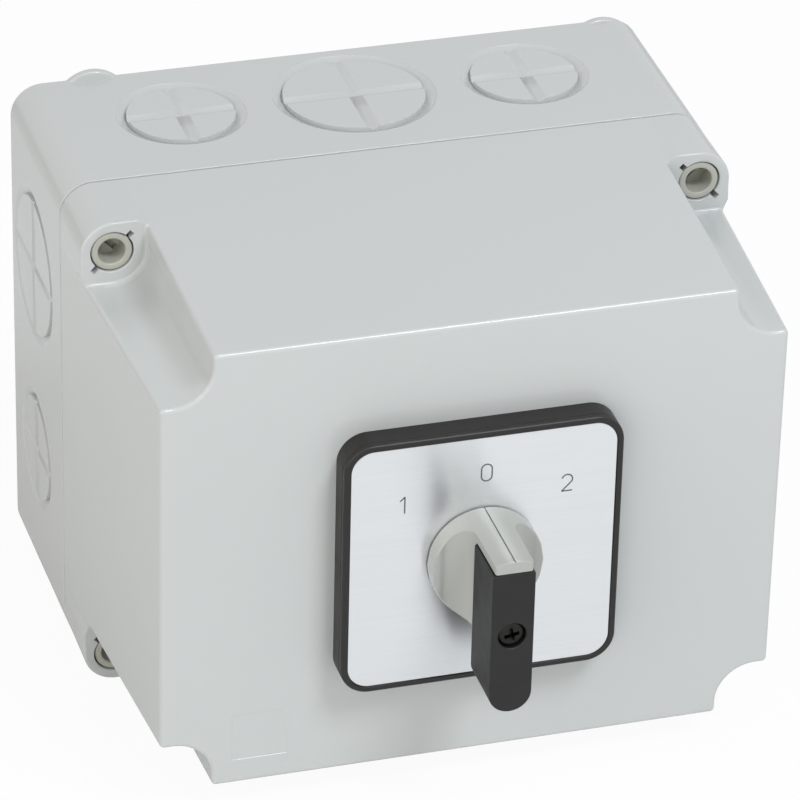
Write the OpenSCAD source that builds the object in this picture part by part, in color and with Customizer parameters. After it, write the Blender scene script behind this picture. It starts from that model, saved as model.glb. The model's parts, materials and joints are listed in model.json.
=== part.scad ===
// Reversing drum switch for a three-phase motor, in a moulded box that is screwed to a wall.
// Every piece is drawn lying on its back: the wall face is z = 0 and z runs out to the knob.
// upright() then turns the piece so that the knob faces -Y and +Z is up.

/* [Enclosure] */
// Width of the box at the wall
box_w = 170; // [160:1:190]
// Height of the box at the wall
box_h = 135; // [130:1:150]
// Depth from the wall to the front face of the cover
box_d = 137.4; // [134:0.2:144]
// Height of the seam between base and cover above the wall
seam_z = 55; // [50:0.5:56]
// Wall thickness of base and cover
wall_t = 3.2; // [2.6:0.1:3.6]
// Thickness of the cover's front wall
front_t = 3.4; // [2.8:0.1:4]
// Radius of the box corners
corner_r = 8.5; // [6:0.5:10]
// Draft angle of the base walls
base_draft = 0.45; // [0.2:0.05:0.8]
// Draft angle of the cover walls
cover_draft = 3.6; // [3:0.1:4]
// Radius of the channels along the cover corners, round the screw axes, at the front face
channel_r = 10.2; // [9.8:0.1:10.6]
// Draft angle of the channels, which makes them narrower towards the wall
channel_draft = 1.4; // [1.2:0.1:1.6]
// Radius of the driver's room round each screw, where the channel is narrower
driver_room_r = 9.1; // [9:0.1:9.6]
// Height of the screw pads at the foot of the channels
pad_z = 77; // [74:0.5:80]
// Distance over which the upright column under a pad runs back into the leaning wall
column_run = 6; // [4:0.5:8]
// Width of the shallow field for a label on the front face
field_w = 14; // [10:0.5:20]
// Height of the label field
field_h = 13.2; // [10:0.2:16]
// Distance of the label field's middle from the left edge of the front face
field_left = 25.5; // [22:0.5:34]
// Distance of the label field's middle from the lower edge of the front face
field_low = 13.3; // [10:0.1:20]
// Depth of the label field
field_depth = 0.2; // [0.1:0.05:0.4]

/* [Rim and gasket] */
// Width of the rim flange of base and cover
rim_w = 6.4; // [6:0.2:7.4]
// Thickness of the rim flange
rim_t = 5; // [4:0.25:6]
// Radius of the rim round each screw column
rim_column_r = 13; // [12.6:0.2:13.6]
// Distance of the gasket groove from the outside of the box
gasket_inset = 3; // [2.6:0.1:3.4]
// Radius of the gasket groove round each screw column
gasket_column_r = 9.4; // [9.2:0.1:10]
// Width of the gasket
gasket_w = 2; // [1.6:0.1:2.4]
// Depth of the gasket groove
gasket_groove = 2; // [1.5:0.1:2.5]
// Open seam between base and cover
seam_gap = 0.3; // [0.2:0.05:0.4]

/* [Cover screws] */
// Distance of each screw axis from the sides of the box
screw_inset = 8.65; // [8.4:0.05:9]
// Diameter of the screw head
screw_head_d = 10.4; // [10:0.1:10.8]
// Depth of the screw head in its pad
screw_head_l = 10; // [8:0.5:12]
// Depth of the screw head below its pad
screw_sink = 0.4; // [0.2:0.1:1]
// Diameter of the driver recess in the screw head
screw_recess_d = 6.9; // [6:0.1:7.4]
// Depth of the driver recess
screw_recess_l = 6; // [4:0.5:7]
// Width of the driver slot
screw_slot_w = 1.6; // [1.2:0.1:2]
// Depth of the driver slot
screw_slot_l = 2; // [1:0.25:3]
// Diameter of the screw shank
screw_shank_d = 8.4; // [8:0.1:8.6]
// Reach of the locking lugs from the screw axis
screw_lug_r = 6.6; // [6.2:0.1:6.8]
// Width of the locking lugs
screw_lug_w = 1.2; // [1:0.1:1.6]
// Length of the locking lugs along the screw
screw_lug_l = 3; // [2:0.25:4]
// Thickness of the throat that the lugs lock under
throat_l = 4; // [3:0.25:5]
// Length of the locking chamber
chamber_l = 8; // [7:0.5:10]
// Gap round the screws
screw_gap = 0.3; // [0.2:0.05:0.35]

/* [Wall fixing] */
// Diameter of the wall fixing holes
fix_hole_d = 5.5; // [4.5:0.1:6]
// Height of the seat for a wall screw's head
fix_seat_z = 8; // [6:0.5:12]
// Radius of the lobes on the wall face
lobe_r = 9.5; // [8.5:0.25:10]
// Thickness of the lobes
lobe_t = 2.2; // [1.6:0.2:4]
// Height of the left lobes above the box
lobe_left_rise = 2.3; // [1.4:0.1:2.8]
// Height of the right lobes above the box
lobe_right_rise = 0.8; // [0.4:0.1:1.6]
// Distance of the left lobes from the left side of the box
lobe_left_inset = 21.5; // [16:0.5:25]
// Distance of the right lobes from the right side of the box
lobe_right_inset = 10.5; // [10:0.5:15]

/* [Knockouts] */
// Radius of the small conical seats
small_ring_r = 16.75; // [15:0.25:17.5]
// Radius of the large conical seats
large_ring_r = 21.2; // [20:0.2:22]
// Width of the cone between seat edge and disc
ring_band = 2.7; // [2.2:0.1:3.2]
// Depth of the cone
ring_depth = 0.6; // [0.4:0.1:1]
// Width of the thin groove round each disc
ring_groove_w = 0.4; // [0.3:0.1:0.6]
// Thickness left under the groove
ring_web = 0.7; // [0.5:0.1:1]
// Height of the knockouts above the wall face
knock_z = 25; // [24:0.5:26]
// Distance between the knockouts of a long side
knock_pitch = 45.8; // [44:0.2:47]
// Place of the large knockout of a short side
side_large_y = 28; // [26:0.5:29]
// Place of the small knockout of a short side
side_small_y = 26.7; // [25:0.1:28]
// Width of the cross grooves on the discs
cross_w = 3; // [2.4:0.1:3.4]
// Depth of the cross grooves
cross_depth = 0.5; // [0.3:0.1:0.8]

/* [Front plate] */
// Side of the square plate frame
frame_w = 71; // [70.8:0.2:74]
// Corner radius of the plate frame
frame_r = 7.5; // [7:0.25:10]
// Height of the plate frame
frame_t = 7.2; // [6.4:0.1:8]
// Bevel round the front of the plate frame
frame_bevel = 0.8; // [0.4:0.1:1]
// Side of the square legend plate
legend_w = 67.4; // [65:0.2:67.6]
// Corner radius of the legend plate
legend_r = 5.75; // [5:0.25:8]
// Thickness of the legend plate
legend_t = 0.8; // [0.6:0.1:1]
// Depth of the legend face below the frame's rim
legend_sink = 0.2; // [0.1:0.05:0.4]
// Thickness of the plate gasket
plate_gasket_t = 1; // [0.8:0.1:1.4]
// Distance of the plate screws from the edges of the plate frame
plate_screw_inset = 11.2; // [10.6:0.1:12]

/* [Knob] */
// Diameter of the hub
hub_d = 28.4; // [27.6:0.2:30]
// Height of the hub
hub_h = 25.5; // [24:0.25:28]
// Gap between hub and legend plate
hub_gap = 0.5; // [0.3:0.05:0.8]
// Width of the hub's ridge
ridge_w = 9.8; // [9.4:0.1:10.4]
// Height of the hub's rim at its sides
hub_rim_h = 4.7; // [4:0.1:5.4]
// Height of the hub's floor under the lever
hub_floor_h = 10; // [9:0.25:11]
// Width of the sighting groove
index_w = 0.5; // [0.4:0.05:0.8]
// Depth of the sighting groove
index_depth = 0.4; // [0.3:0.05:0.6]
// Width of the lever
lever_w = 10.8; // [10.4:0.1:11]
// Distance from the axis to the upper end of the lever
lever_up = 10.6; // [9.5:0.1:10.8]
// Distance from the axis to the lower end of the lever
lever_down = 29; // [26:0.25:31]
// Depth of the lever
lever_h = 15.4; // [14.5:0.1:17]
// Distance of the handle screw below the axis
handle_screw_y = 7.1; // [7:0.1:8]
// Diameter of the handle screw's head
handle_head_d = 6.8; // [6:0.1:7]

/* [Switching] */
// Turn from off to either running position
index_angle = 45; // [40:1:45]
// Travel of the contacts over that turn
contact_travel = 3; // [2.6:0.1:3]
// Mean radius of the cams
cam_r = 12; // [11.5:0.1:12.2]
// Thickness of the cams
cam_t = 8; // [6:0.5:9]
// Gap between a cam and its followers
cam_gap = 0.35; // [0.3:0.05:0.4]
// Radius of the follower's nose
nose_r = 1.5; // [1.2:0.1:1.8]

/* [Switch body] */
// Width of the switch body
body_w = 68; // [67:0.5:72]
// Height of the switch body
body_h = 60; // [59:0.5:62]
// Corner radius of the switch body
body_r = 3; // [2:0.25:4]
// Thickness of the latch housing
latch_t = 14; // [13.5:0.25:15]
// Thickness of one contact stage
stage_t = 20; // [19.5:0.25:20]
// Thickness of a stage's front floor
stage_floor_t = 3; // [2:0.25:3.5]
// Thickness of the rear plate
rear_t = 5; // [4:0.25:6]
// Thickness left behind the rear journal
rear_web = 1; // [0.8:0.1:1.5]
// Side of the square drive shaft
shaft_w = 8; // [7.6:0.1:8]
// Diameter of the shaft's front journal
journal_d = 12; // [11.6:0.1:12.2]
// Diameter of the shaft's rear journal
rear_journal_d = 7.6; // [6:0.1:7.6]
// Running clearance of the journals
journal_gap = 0.05; // [0.03:0.01:0.08]
// Diameter of the tie bolts
tie_d = 4; // [3.5:0.1:4.5]
// Distance of each tie bolt from the axis
tie_y = 26; // [25.6:0.1:26]

/* [Contacts] */
// Width of a carrier's stem
stem_w = 6; // [5:0.1:6.4]
// Height of a carrier's stem along the shaft
stem_t = 9; // [8:0.25:10]
// Gap beside a carrier's stem
stem_gap = 0.2; // [0.15:0.05:0.3]
// Thickness of a bridge
bridge_t = 1.2; // [1:0.1:1.4]
// Length of a bridge
bridge_l = 28; // [26:0.5:29]
// Height of bridges and contact bars along the shaft
bar_h = 6.4; // [5:0.2:6.4]
// Thickness of the contact bars
bar_t = 1.2; // [1:0.1:1.3]
// Height of a silver tip
tip_t = 0.8; // [0.6:0.05:0.9]
// Side of a silver tip
tip_w = 3; // [2.4:0.1:3.4]
// Distance of the tips from the carrier's middle
tip_y = 11; // [10.8:0.1:11.2]
// Gap that is left between closed tips
closed_gap = 0.15; // [0.1:0.05:0.25]
// Distance of the contact bars from the shaft's axis
bar_x = 16.2; // [16.1:0.1:16.6]
// Length of the contact bars beyond their clamps
bar_tail = 0.3; // [0.1:0.1:1]
// Wire diameter of the contact springs
spring_wire = 0.8; // [0.6:0.05:0.9]
// Outside diameter of the contact springs
spring_d = 7; // [6:0.25:7.5]
// Free curls of a contact spring
spring_curls = 4; // [3:1:4]

/* [Hidden] */
$fn = 48;

// How far every cut runs past the face that it opens
over = 1;
// Clearance of seated pieces, such as a plate in its recess
seat_gap = 0.1;
// Clearance of the square shaft in what it drives, and of screws in their threads
square_gap = 0.05;
// Clearance round screw heads and round what moves past another piece
pass_gap = 0.3;
// Clearance round plate screws and the spigot
spigot_gap = 0.2;
// Least radius of an inner corner
least_r = 1;
// Stages of the switch, counted from the knob to the wall
stage_list = [1, 2, 3];

// Enclosure, worked out from the sizes above
base_z1 = seam_z - seam_gap / 2;
cover_z0 = seam_z + seam_gap / 2;
base_lean = seam_z * tan(base_draft);
seam_w = box_w - 2 * base_lean;
seam_h = box_h - 2 * base_lean;
function cover_w(z) = seam_w - 2 * (z - seam_z) * tan(cover_draft);
function cover_h(z) = seam_h - 2 * (z - seam_z) * tan(cover_draft);
function channel_at(z) = channel_r - (box_d - z) * tan(channel_draft);
flank_sink = 0.05;
driver_room_z1 = pad_z + (driver_room_r - channel_at(pad_z)) / tan(channel_draft) + over;
column_in = 0.1;
inner_r = corner_r - wall_t;
screw_x = box_w / 2 - screw_inset;
screw_y = box_h / 2 - screw_inset;
screw_bore_r = screw_head_d / 2 + screw_gap;
shank_bore_r = screw_shank_d / 2 + screw_gap;
notch_r = screw_lug_r + 2 * screw_gap;
notch_w = screw_lug_w + screw_gap;
column_wall = 2;
column_r = notch_r + column_wall;
lug_z1 = base_z1 - throat_l - screw_gap;
chamber_r = screw_lug_r + screw_gap;
screw_tip_l = 1.2;
lobe_left_y = box_h / 2 + lobe_left_rise - lobe_r;
lobe_right_y = box_h / 2 + lobe_right_rise - lobe_r;
lobe_left_x = lobe_left_inset - box_w / 2;
lobe_right_x = box_w / 2 - lobe_right_inset;

// Earth terminal on a boss of the base
boss_h = 2;
earth_l = 9;
earth_gap = 1.8;
earth_x = box_w / 2 - wall_t - earth_gap - earth_l / 2;
earth_w = 14;
earth_t = 6;
earth_screw_r = 2;
earth_head_r = 3.6;
earth_head_t = 2.6;

// Front plate and knob
frame_z1 = box_d + frame_t;
legend_z1 = frame_z1 - legend_sink;
legend_z0 = legend_z1 - legend_t;
seal_wire = 2;
seal_r = journal_d / 2 + seat_gap + seal_wire / 2;
spigot_wall = 2.6;
spigot_r = seal_r + seal_wire / 2 + seat_gap + spigot_wall;
spigot_h = 3.6;
spigot_z1 = box_d + spigot_h;
seal_z = spigot_z1 - seal_wire / 2 - seat_gap;
frame_hole_r = journal_d / 2 + pass_gap;
plate_screw_d = 4;
plate_screw_pitch = frame_w - 2 * plate_screw_inset;
plate_head_r = 3.9;
plate_head_t = 2.4;
plate_head_z = legend_z0 - plate_head_t - seat_gap;
plate_screw_l = 17;
plate_gasket_in = 3;
plate_gasket_w = 3;
hub_r = hub_d / 2;
hub_z0 = legend_z1 + hub_gap;
hub_z1 = hub_z0 + hub_h;
scoop_r = hub_r - ridge_w / 2 - seat_gap;
lever_z0 = hub_z0 + hub_floor_h;
lever_z1 = lever_z0 + lever_h;
hub_web = 2.5;
shaft_z1 = lever_z0 - hub_web;
hub_screw_d = 3;
hub_head_r = 2.8;
hub_head_t = 1.8;
hub_screw_l = 10;
handle_head_t = 2.2;
handle_sink = 0.4;
handle_screw_d = 3;
handle_grip_l = 6;
recess_w = 1;
recess_l = 4;
recess_depth = 1.2;

// Switch stack along the shaft
latch_z1 = box_d - front_t;
latch_z0 = latch_z1 - latch_t;
latch_wall = 4;
function stage_z0(n) = latch_z0 - n * stage_t;
function stage_mid(n) = stage_z0(n) + (stage_t - stage_floor_t) / 2;
rear_z1 = stage_z0(3);
rear_z0 = rear_z1 - rear_t;
journal_z0 = latch_z1 - latch_wall - pass_gap;
shaft_hole_r = shaft_w * sqrt(2) / 2 + pass_gap;
tie_head_r = 3.5;
tie_head_t = 3;
tie_nut_r = 4;
tie_nut_t = 3.2;
tie_tail = 1;

// Latch
star_r = 14.5;
star_t = 7;
notch_centre_r = 15.6;
star_notch_r = 2.6;
leaf_nose_r = 2.2;
leaf_t = 1;
leaf_sink = 0.4;
leaf_x = notch_centre_r + leaf_nose_r - leaf_sink;
leaf_half_l = 14;
leaf_w = 6;
star_gap = 1.7;
stop_r = 19;
stop_half_angle = 5;
stop_slack_angle = 0.6;
star_lift = 1.5;
star_z0 = latch_z0 + star_lift;

// Cams: the radius falls evenly with the angle on the right side and is mirrored on the left
cam_step_angle = 5;
cam_span_angle = 55;
cam_rate = contact_travel / index_angle;
cam_clear = 0.5;
cam_max_r = cam_r + cam_rate * cam_span_angle;
cam_cavity_r = cam_max_r + cam_clear;

// Contacts, from the shaft outwards
bar_out = bar_x + bar_t;
tip_out = bar_out + tip_t;
bridge_tip_x = tip_out + closed_gap + contact_travel;
bridge_x = bridge_tip_x + tip_t;
seat_x = bridge_x + bridge_t;
seat_t = 1.3;
seat_r = 4;
nose_x = cam_r + cam_gap + nose_r;
spring_x0 = seat_x + seat_t;
side_wall = 2;
spring_x1 = body_w / 2 - side_wall;
chamber_in = tip_out;
chamber_out = spring_x0 + contact_travel + pass_gap;
chamber_gap = 1.5;
chamber_half = bridge_l / 2 + chamber_gap;
spring_gap = 0.8;
spring_room = spring_d / 2 + spring_gap;
slot_gap = 0.6;
slot_in_y = tip_y - tip_w / 2 - slot_gap;
terminal_d = 4;
clamp_w = 6;
terminal_y = body_h / 2 + spigot_gap + clamp_w / 2;
bar_end_y = terminal_y + clamp_w / 2 + bar_tail;
clamp_t = 1.2;
clamp_open = 0.6;
terminal_head_r = 2.9;
terminal_head_t = 2.4;
terminal_tail = 3;
shelf_x0 = 10;
shelf_x1 = 26;
shelf_reach = 2.5;
shelf_y1 = bar_end_y + shelf_reach;
shelf_t = 2;
link_t = 1;
link_w = 5;
link_step = 1.5;

module upright() {
    rotate([90, 0, 0]) children();
}

// Flat outlines
module rounded_rect(w, h, r) {
    square([w - 2 * r, h], center = true);
    square([w, h - 2 * r], center = true);
    for (sx = [-1, 1], sy = [-1, 1])
        translate([sx * (w / 2 - r), sy * (h / 2 - r)]) circle(r);
}

module sector(r, from_angle, to_angle) {
    steps = 8;
    polygon(concat([[0, 0]], [
        for (i = [0:steps])
            let (a = from_angle + (to_angle - from_angle) * i / steps) [r * cos(a), r * sin(a)]
    ]));
}

// The free area inside a rim that bends round the four screw columns
module inside_columns(inset, r) {
    difference() {
        rounded_rect(seam_w - 2 * inset, seam_h - 2 * inset, max(inner_r - inset / 2, least_r));
        for (sx = [-1, 1], sy = [-1, 1]) translate([sx * screw_x, sy * screw_y]) circle(r);
    }
}

module gasket_path(slack) {
    difference() {
        inside_columns(gasket_inset - slack, gasket_column_r - slack);
        inside_columns(gasket_inset + gasket_w + slack, gasket_column_r + gasket_w + slack);
    }
}

// Solids
module prism(z0, z1) {
    translate([0, 0, z0]) linear_extrude(height = z1 - z0) children();
}

module rod(r, z0, z1) {
    translate([0, 0, z0]) cylinder(r = r, h = z1 - z0);
}

module block(x0, x1, y0, y1, z0, z1) {
    translate([x0, y0, z0]) cube([x1 - x0, y1 - y0, z1 - z0]);
}

// A block whose four sides lean in from w0 by h0 at z0 to w1 by h1 at z1
module leaning_block(w0, h0, w1, h1, z0, z1) {
    intersection() {
        rotate([90, 0, 0]) linear_extrude(height = h0 + h1, center = true)
            polygon([[-w0 / 2, z0], [w0 / 2, z0], [w1 / 2, z1], [-w1 / 2, z1]]);
        rotate([90, 0, 90]) linear_extrude(height = w0 + w1, center = true)
            polygon([[-h0 / 2, z0], [h0 / 2, z0], [h1 / 2, z1], [-h1 / 2, z1]]);
    }
}

module at_corners(x, y) {
    for (sx = [-1, 1], sy = [-1, 1]) translate([sx * x, sy * y, 0]) children();
}

module mirrored_corners(x, y) {
    for (mx = [0, 1], my = [0, 1])
        mirror([mx, 0, 0]) mirror([0, my, 0]) translate([x, y, 0]) children();
}

// Bore with the two notches that let the locking lugs of a cover screw pass
module lug_passage(z0, z1) {
    rod(shank_bore_r, z0, z1);
    intersection() {
        rod(notch_r, z0, z1);
        rotate([0, 0, -45]) block(-notch_r, notch_r, -notch_w / 2, notch_w / 2, z0, z1);
    }
}

// A knockout seen from outside: conical seat, thin groove, disc with a cross
module knockout_cut(ring_r) {
    disc_r = ring_r - ring_band;
    rotate_extrude() polygon([
        [disc_r, over], [ring_r + over * ring_band / ring_depth, over],
        [disc_r + ring_groove_w, -ring_depth], [disc_r + ring_groove_w, ring_web - wall_t],
        [disc_r, ring_web - wall_t]
    ]);
    for (turn = [0, 90]) rotate([90, 0, turn])
        linear_extrude(height = 2 * disc_r + ring_groove_w, center = true)
            polygon([
                [-cross_w / 2, 0], [0, -cross_depth], [cross_w / 2, 0], [cross_w / 2, over], [-cross_w / 2, over]
            ]);
}

// A long side has three knockouts and a short side two
module knockout_cuts() {
    side_y = box_h / 2 - knock_z * tan(base_draft);
    side_x = box_w / 2 - knock_z * tan(base_draft);
    for (my = [0, 1]) mirror([0, my, 0]) translate([0, side_y, knock_z]) rotate([-90, 0, 0]) {
        knockout_cut(large_ring_r);
        for (sx = [-1, 1]) translate([sx * knock_pitch, 0, 0]) knockout_cut(small_ring_r);
    }
    for (mx = [0, 1]) mirror([mx, 0, 0]) {
        translate([side_x, side_large_y, knock_z]) rotate([0, 90, 0]) knockout_cut(large_ring_r);
        translate([side_x, -side_small_y, knock_z]) rotate([0, 90, 0]) knockout_cut(small_ring_r);
    }
}

module base_room() {
    difference() {
        prism(wall_t, base_z1 - rim_t)
            rounded_rect(seam_w - 2 * wall_t, seam_h - 2 * wall_t, inner_r);
        at_corners(screw_x, screw_y) rod(column_r, 0, base_z1);
        block(-earth_x - earth_l / 2, -earth_x + earth_l / 2, -earth_w / 2, earth_w / 2, 0, wall_t + boss_h);
    }
    prism(base_z1 - rim_t - over, base_z1 + over) inside_columns(rim_w, rim_column_r);
}

module base_box() {
    color("#cbd0cc") difference() {
        union() {
            intersection() {
                leaning_block(box_w, box_h, seam_w, seam_h, 0, base_z1);
                prism(0, base_z1) rounded_rect(box_w, box_h, corner_r);
            }
            for (sy = [-1, 1]) {
                translate([lobe_left_x, sy * lobe_left_y, 0]) rod(lobe_r, 0, lobe_t);
                translate([lobe_right_x, sy * lobe_right_y, 0]) rod(lobe_r, 0, lobe_t);
            }
        }
        base_room();
        knockout_cuts();
        prism(base_z1 - gasket_groove, base_z1 + over) gasket_path(seat_gap);
        mirrored_corners(screw_x, screw_y) {
            lug_passage(base_z1 - throat_l, base_z1 + over);
            rod(chamber_r, base_z1 - throat_l - chamber_l, base_z1 - throat_l);
            rod(shank_bore_r, fix_seat_z, base_z1);
            rod(fix_hole_d / 2, -over, fix_seat_z + over);
        }
        translate([-earth_x, 0, 0]) rod(earth_screw_r, wall_t, wall_t + boss_h + over);
    }
}

// A channel runs down the cover in front of a screw: a cone round the screw axis, with a
// flat flank on two sides that leads out through the wall
module channel(wall, z0) {
    far = 2 * corner_r;
    r = channel_at(pad_z) + wall;
    intersection() {
        union() {
            translate([0, 0, pad_z - far]) cylinder(
                r1 = channel_at(pad_z - far) + wall, r2 = channel_at(box_d + far) + wall,
                h = box_d - pad_z + 2 * far);
            translate([0, flank_sink - r, pad_z]) rotate([channel_draft, 0, 0])
                block(0, far, 0, far, -far, box_d - pad_z + far);
            translate([flank_sink - r, 0, pad_z]) rotate([0, -channel_draft, 0])
                block(0, far, 0, far, -far, box_d - pad_z + far);
        }
        block(-far, far, -far, far, z0, box_d + far);
    }
}

// Outline of the upright column under a screw pad: it keeps the outline of the seam and runs
// back into the leaning walls at both ends of the pad
module pad_column() {
    x1 = seam_w / 2 - column_in;
    y1 = seam_h / 2 - column_in;
    pad_x = screw_x - channel_at(pad_z);
    pad_y = screw_y - channel_at(pad_z);
    polygon([
        [pad_x, pad_y], [cover_w(pad_z) / 2, pad_y], [x1, pad_y + column_run], [x1, y1 - corner_r],
        [x1 - corner_r, y1], [pad_x + column_run, y1], [pad_x, cover_h(pad_z) / 2]
    ]);
    translate([x1 - corner_r, y1 - corner_r]) circle(corner_r);
}

module cover_room() {
    top = box_d - front_t;
    difference() {
        intersection() {
            leaning_block(
                cover_w(cover_z0) - 2 * wall_t, cover_h(cover_z0) - 2 * wall_t,
                cover_w(top) - 2 * wall_t, cover_h(top) - 2 * wall_t, cover_z0, top);
            prism(cover_z0 + rim_t, top) rounded_rect(seam_w - 2 * wall_t, seam_h - 2 * wall_t, inner_r);
        }
        mirrored_corners(screw_x, screw_y) channel(wall_t, pad_z - wall_t);
        at_corners(screw_x, screw_y) rod(column_r, 0, pad_z);
    }
    prism(cover_z0 - over, cover_z0 + rim_t + over) inside_columns(rim_w, rim_column_r);
}

module front_cover() {
    color("#cdd2d0") difference() {
        union() {
            intersection() {
                leaning_block(
                    cover_w(cover_z0), cover_h(cover_z0), cover_w(box_d), cover_h(box_d), cover_z0, box_d);
                prism(cover_z0, box_d) rounded_rect(seam_w, seam_h, corner_r);
            }
            mirrored_corners(0, 0) prism(cover_z0, pad_z + over) pad_column();
        }
        cover_room();
        mirrored_corners(screw_x, screw_y) {
            channel(0, pad_z);
            rod(driver_room_r, pad_z, driver_room_z1);
            lug_passage(cover_z0 - over, pad_z + over);
            rod(screw_bore_r, pad_z - screw_head_l - screw_gap, pad_z + over);
        }
        rod(spigot_r + spigot_gap, latch_z1 - over, box_d + over);
        at_corners(plate_screw_pitch / 2, plate_screw_pitch / 2)
            rod(plate_screw_d / 2 + spigot_gap, latch_z1 - over, box_d + over);
        translate([field_left - cover_w(box_d) / 2, field_low - cover_h(box_d) / 2, 0])
            prism(box_d - field_depth, box_d + over) square([field_w, field_h], center = true);
    }
}

module cover_gasket() {
    color("#3a3b3c") prism(base_z1 - gasket_groove, cover_z0) gasket_path(0);
}

// The quarter-turn screws lock with two lugs under the throat of the base column
module cover_screw(mx, my) {
    top = pad_z - screw_sink;
    color("#c8c8bc") mirror([mx, 0, 0]) mirror([0, my, 0]) translate([screw_x, screw_y, 0])
        rotate([0, 0, 45]) difference() {
            union() {
                rod(screw_head_d / 2, pad_z - screw_head_l, top);
                rod(screw_shank_d / 2, lug_z1 - screw_lug_l - screw_tip_l, pad_z - screw_head_l);
                intersection() {
                    rod(screw_lug_r, lug_z1 - screw_lug_l, lug_z1);
                    block(-screw_lug_r, screw_lug_r, -screw_lug_w / 2, screw_lug_w / 2,
                        lug_z1 - screw_lug_l, lug_z1);
                }
            }
            rod(screw_recess_d / 2, top - screw_recess_l, top + over);
            block(-screw_recess_d / 2, screw_recess_d / 2, -screw_slot_w / 2, screw_slot_w / 2,
                top - screw_recess_l - screw_slot_l, top - over);
        }
}

module plate_frame() {
    color("#3c3937") difference() {
        union() {
            prism(box_d, frame_z1 - frame_bevel) rounded_rect(frame_w, frame_w, frame_r);
            prism(frame_z1 - frame_bevel, frame_z1)
                rounded_rect(frame_w - frame_bevel, frame_w - frame_bevel, frame_r - frame_bevel / 2);
        }
        prism(legend_z0, frame_z1 + over)
            rounded_rect(legend_w + 2 * seat_gap, legend_w + 2 * seat_gap, legend_r + seat_gap);
        rod(spigot_r + spigot_gap, box_d - over, spigot_z1 + spigot_gap);
        rod(frame_hole_r, box_d, frame_z1);
        prism(box_d - over, box_d + plate_gasket_t) plate_gasket_outline(seat_gap);
        at_corners(plate_screw_pitch / 2, plate_screw_pitch / 2) {
            rod(plate_screw_d / 2 + spigot_gap, box_d - over, plate_head_z + over);
            rod(plate_head_r + spigot_gap, plate_head_z, frame_z1);
        }
    }
}

module plate_gasket_outline(slack) {
    outer = frame_w - 2 * plate_gasket_in;
    inner = outer - 2 * plate_gasket_w;
    difference() {
        rounded_rect(outer + 2 * slack, outer + 2 * slack, frame_r - plate_gasket_in + slack);
        rounded_rect(inner - 2 * slack, inner - 2 * slack, frame_r - plate_gasket_in);
    }
}

module plate_gasket() {
    color("#2f3031") prism(box_d, box_d + plate_gasket_t) plate_gasket_outline(0);
}

module legend_plate() {
    color("#d5d8da") difference() {
        prism(legend_z0, legend_z1) rounded_rect(legend_w, legend_w, legend_r);
        rod(frame_hole_r, legend_z0 - over, legend_z1 + over);
    }
}

module cross_recess(z1) {
    for (turn = [0, 90]) rotate([0, 0, turn])
        block(-recess_l / 2, recess_l / 2, -recess_w / 2, recess_w / 2, z1 - recess_depth, z1 + over);
}

module plate_screws() {
    color("silver") at_corners(plate_screw_pitch / 2, plate_screw_pitch / 2) difference() {
        union() {
            rod(plate_head_r, plate_head_z, plate_head_z + plate_head_t);
            rod(plate_screw_d / 2, plate_head_z - plate_screw_l, plate_head_z);
        }
        cross_recess(plate_head_z + plate_head_t);
    }
}

// Cutter that hollows one side of the hub between its rim and the ridge
module scoop() {
    foot = hub_z0 + hub_rim_h;
    far = 2 * hub_r;
    rotate([90, 0, 0]) linear_extrude(height = 2 * far, center = true) {
        translate([ridge_w / 2 + scoop_r, foot + scoop_r]) circle(scoop_r);
        translate([ridge_w / 2, foot + scoop_r]) square([far, far]);
        translate([ridge_w / 2 + scoop_r, foot]) square([far, far]);
    }
}

module knob_hub() {
    color("#b8bab2") difference() {
        rod(hub_r, hub_z0, hub_z1);
        for (mx = [0, 1]) mirror([mx, 0, 0]) scoop();
        block(-hub_d, hub_d, -hub_d, lever_up + seat_gap, lever_z0, hub_z1 + over);
        block(-index_w / 2, index_w / 2, hub_r - index_depth, hub_r + over, hub_z0 - over, hub_z1 + over);
        block(-shaft_w / 2 - square_gap, shaft_w / 2 + square_gap, -shaft_w / 2 - square_gap,
            shaft_w / 2 + square_gap, hub_z0 - over, shaft_z1);
        rod(hub_screw_d / 2 + seat_gap, hub_z0, lever_z0 + over);
        translate([0, -handle_screw_y, 0])
            rod(handle_screw_d / 2, lever_z0 - handle_grip_l - seat_gap, lever_z0 + over);
    }
}

module lever_handle() {
    end_r = lever_w / 2;
    head_z0 = lever_z1 - handle_sink - handle_head_t;
    color("#373636") difference() {
        prism(lever_z0, lever_z1) {
            translate([-end_r, end_r - lever_down]) square([lever_w, lever_up + lever_down - end_r]);
            translate([0, end_r - lever_down]) circle(end_r);
        }
        rod(hub_head_r + pass_gap, lever_z0 - over, lever_z0 + hub_head_t + pass_gap);
        translate([0, -handle_screw_y, 0]) {
            rod(handle_screw_d / 2 + seat_gap, lever_z0 - over, lever_z1);
            rod(handle_head_d / 2 + pass_gap, head_z0, lever_z1 + over);
        }
    }
}

module handle_screw() {
    head_z1 = lever_z1 - handle_sink;
    color("#2c2b2b") translate([0, -handle_screw_y, 0]) difference() {
        union() {
            rod(handle_head_d / 2, head_z1 - handle_head_t, head_z1);
            rod(handle_screw_d / 2, lever_z0 - handle_grip_l, head_z1 - handle_head_t);
        }
        cross_recess(head_z1);
    }
}

module hub_screw() {
    color("silver") difference() {
        union() {
            rod(hub_head_r, lever_z0, lever_z0 + hub_head_t);
            rod(hub_screw_d / 2, shaft_z1 - hub_screw_l, lever_z0);
        }
        block(-hub_head_r, hub_head_r, -recess_w / 2, recess_w / 2,
            lever_z0 + hub_head_t - recess_w, lever_z0 + hub_head_t + over);
    }
}

module square_rod(z0, z1, gap) {
    side = shaft_w + 2 * gap;
    prism(z0, z1) square([side, side], center = true);
}

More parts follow.
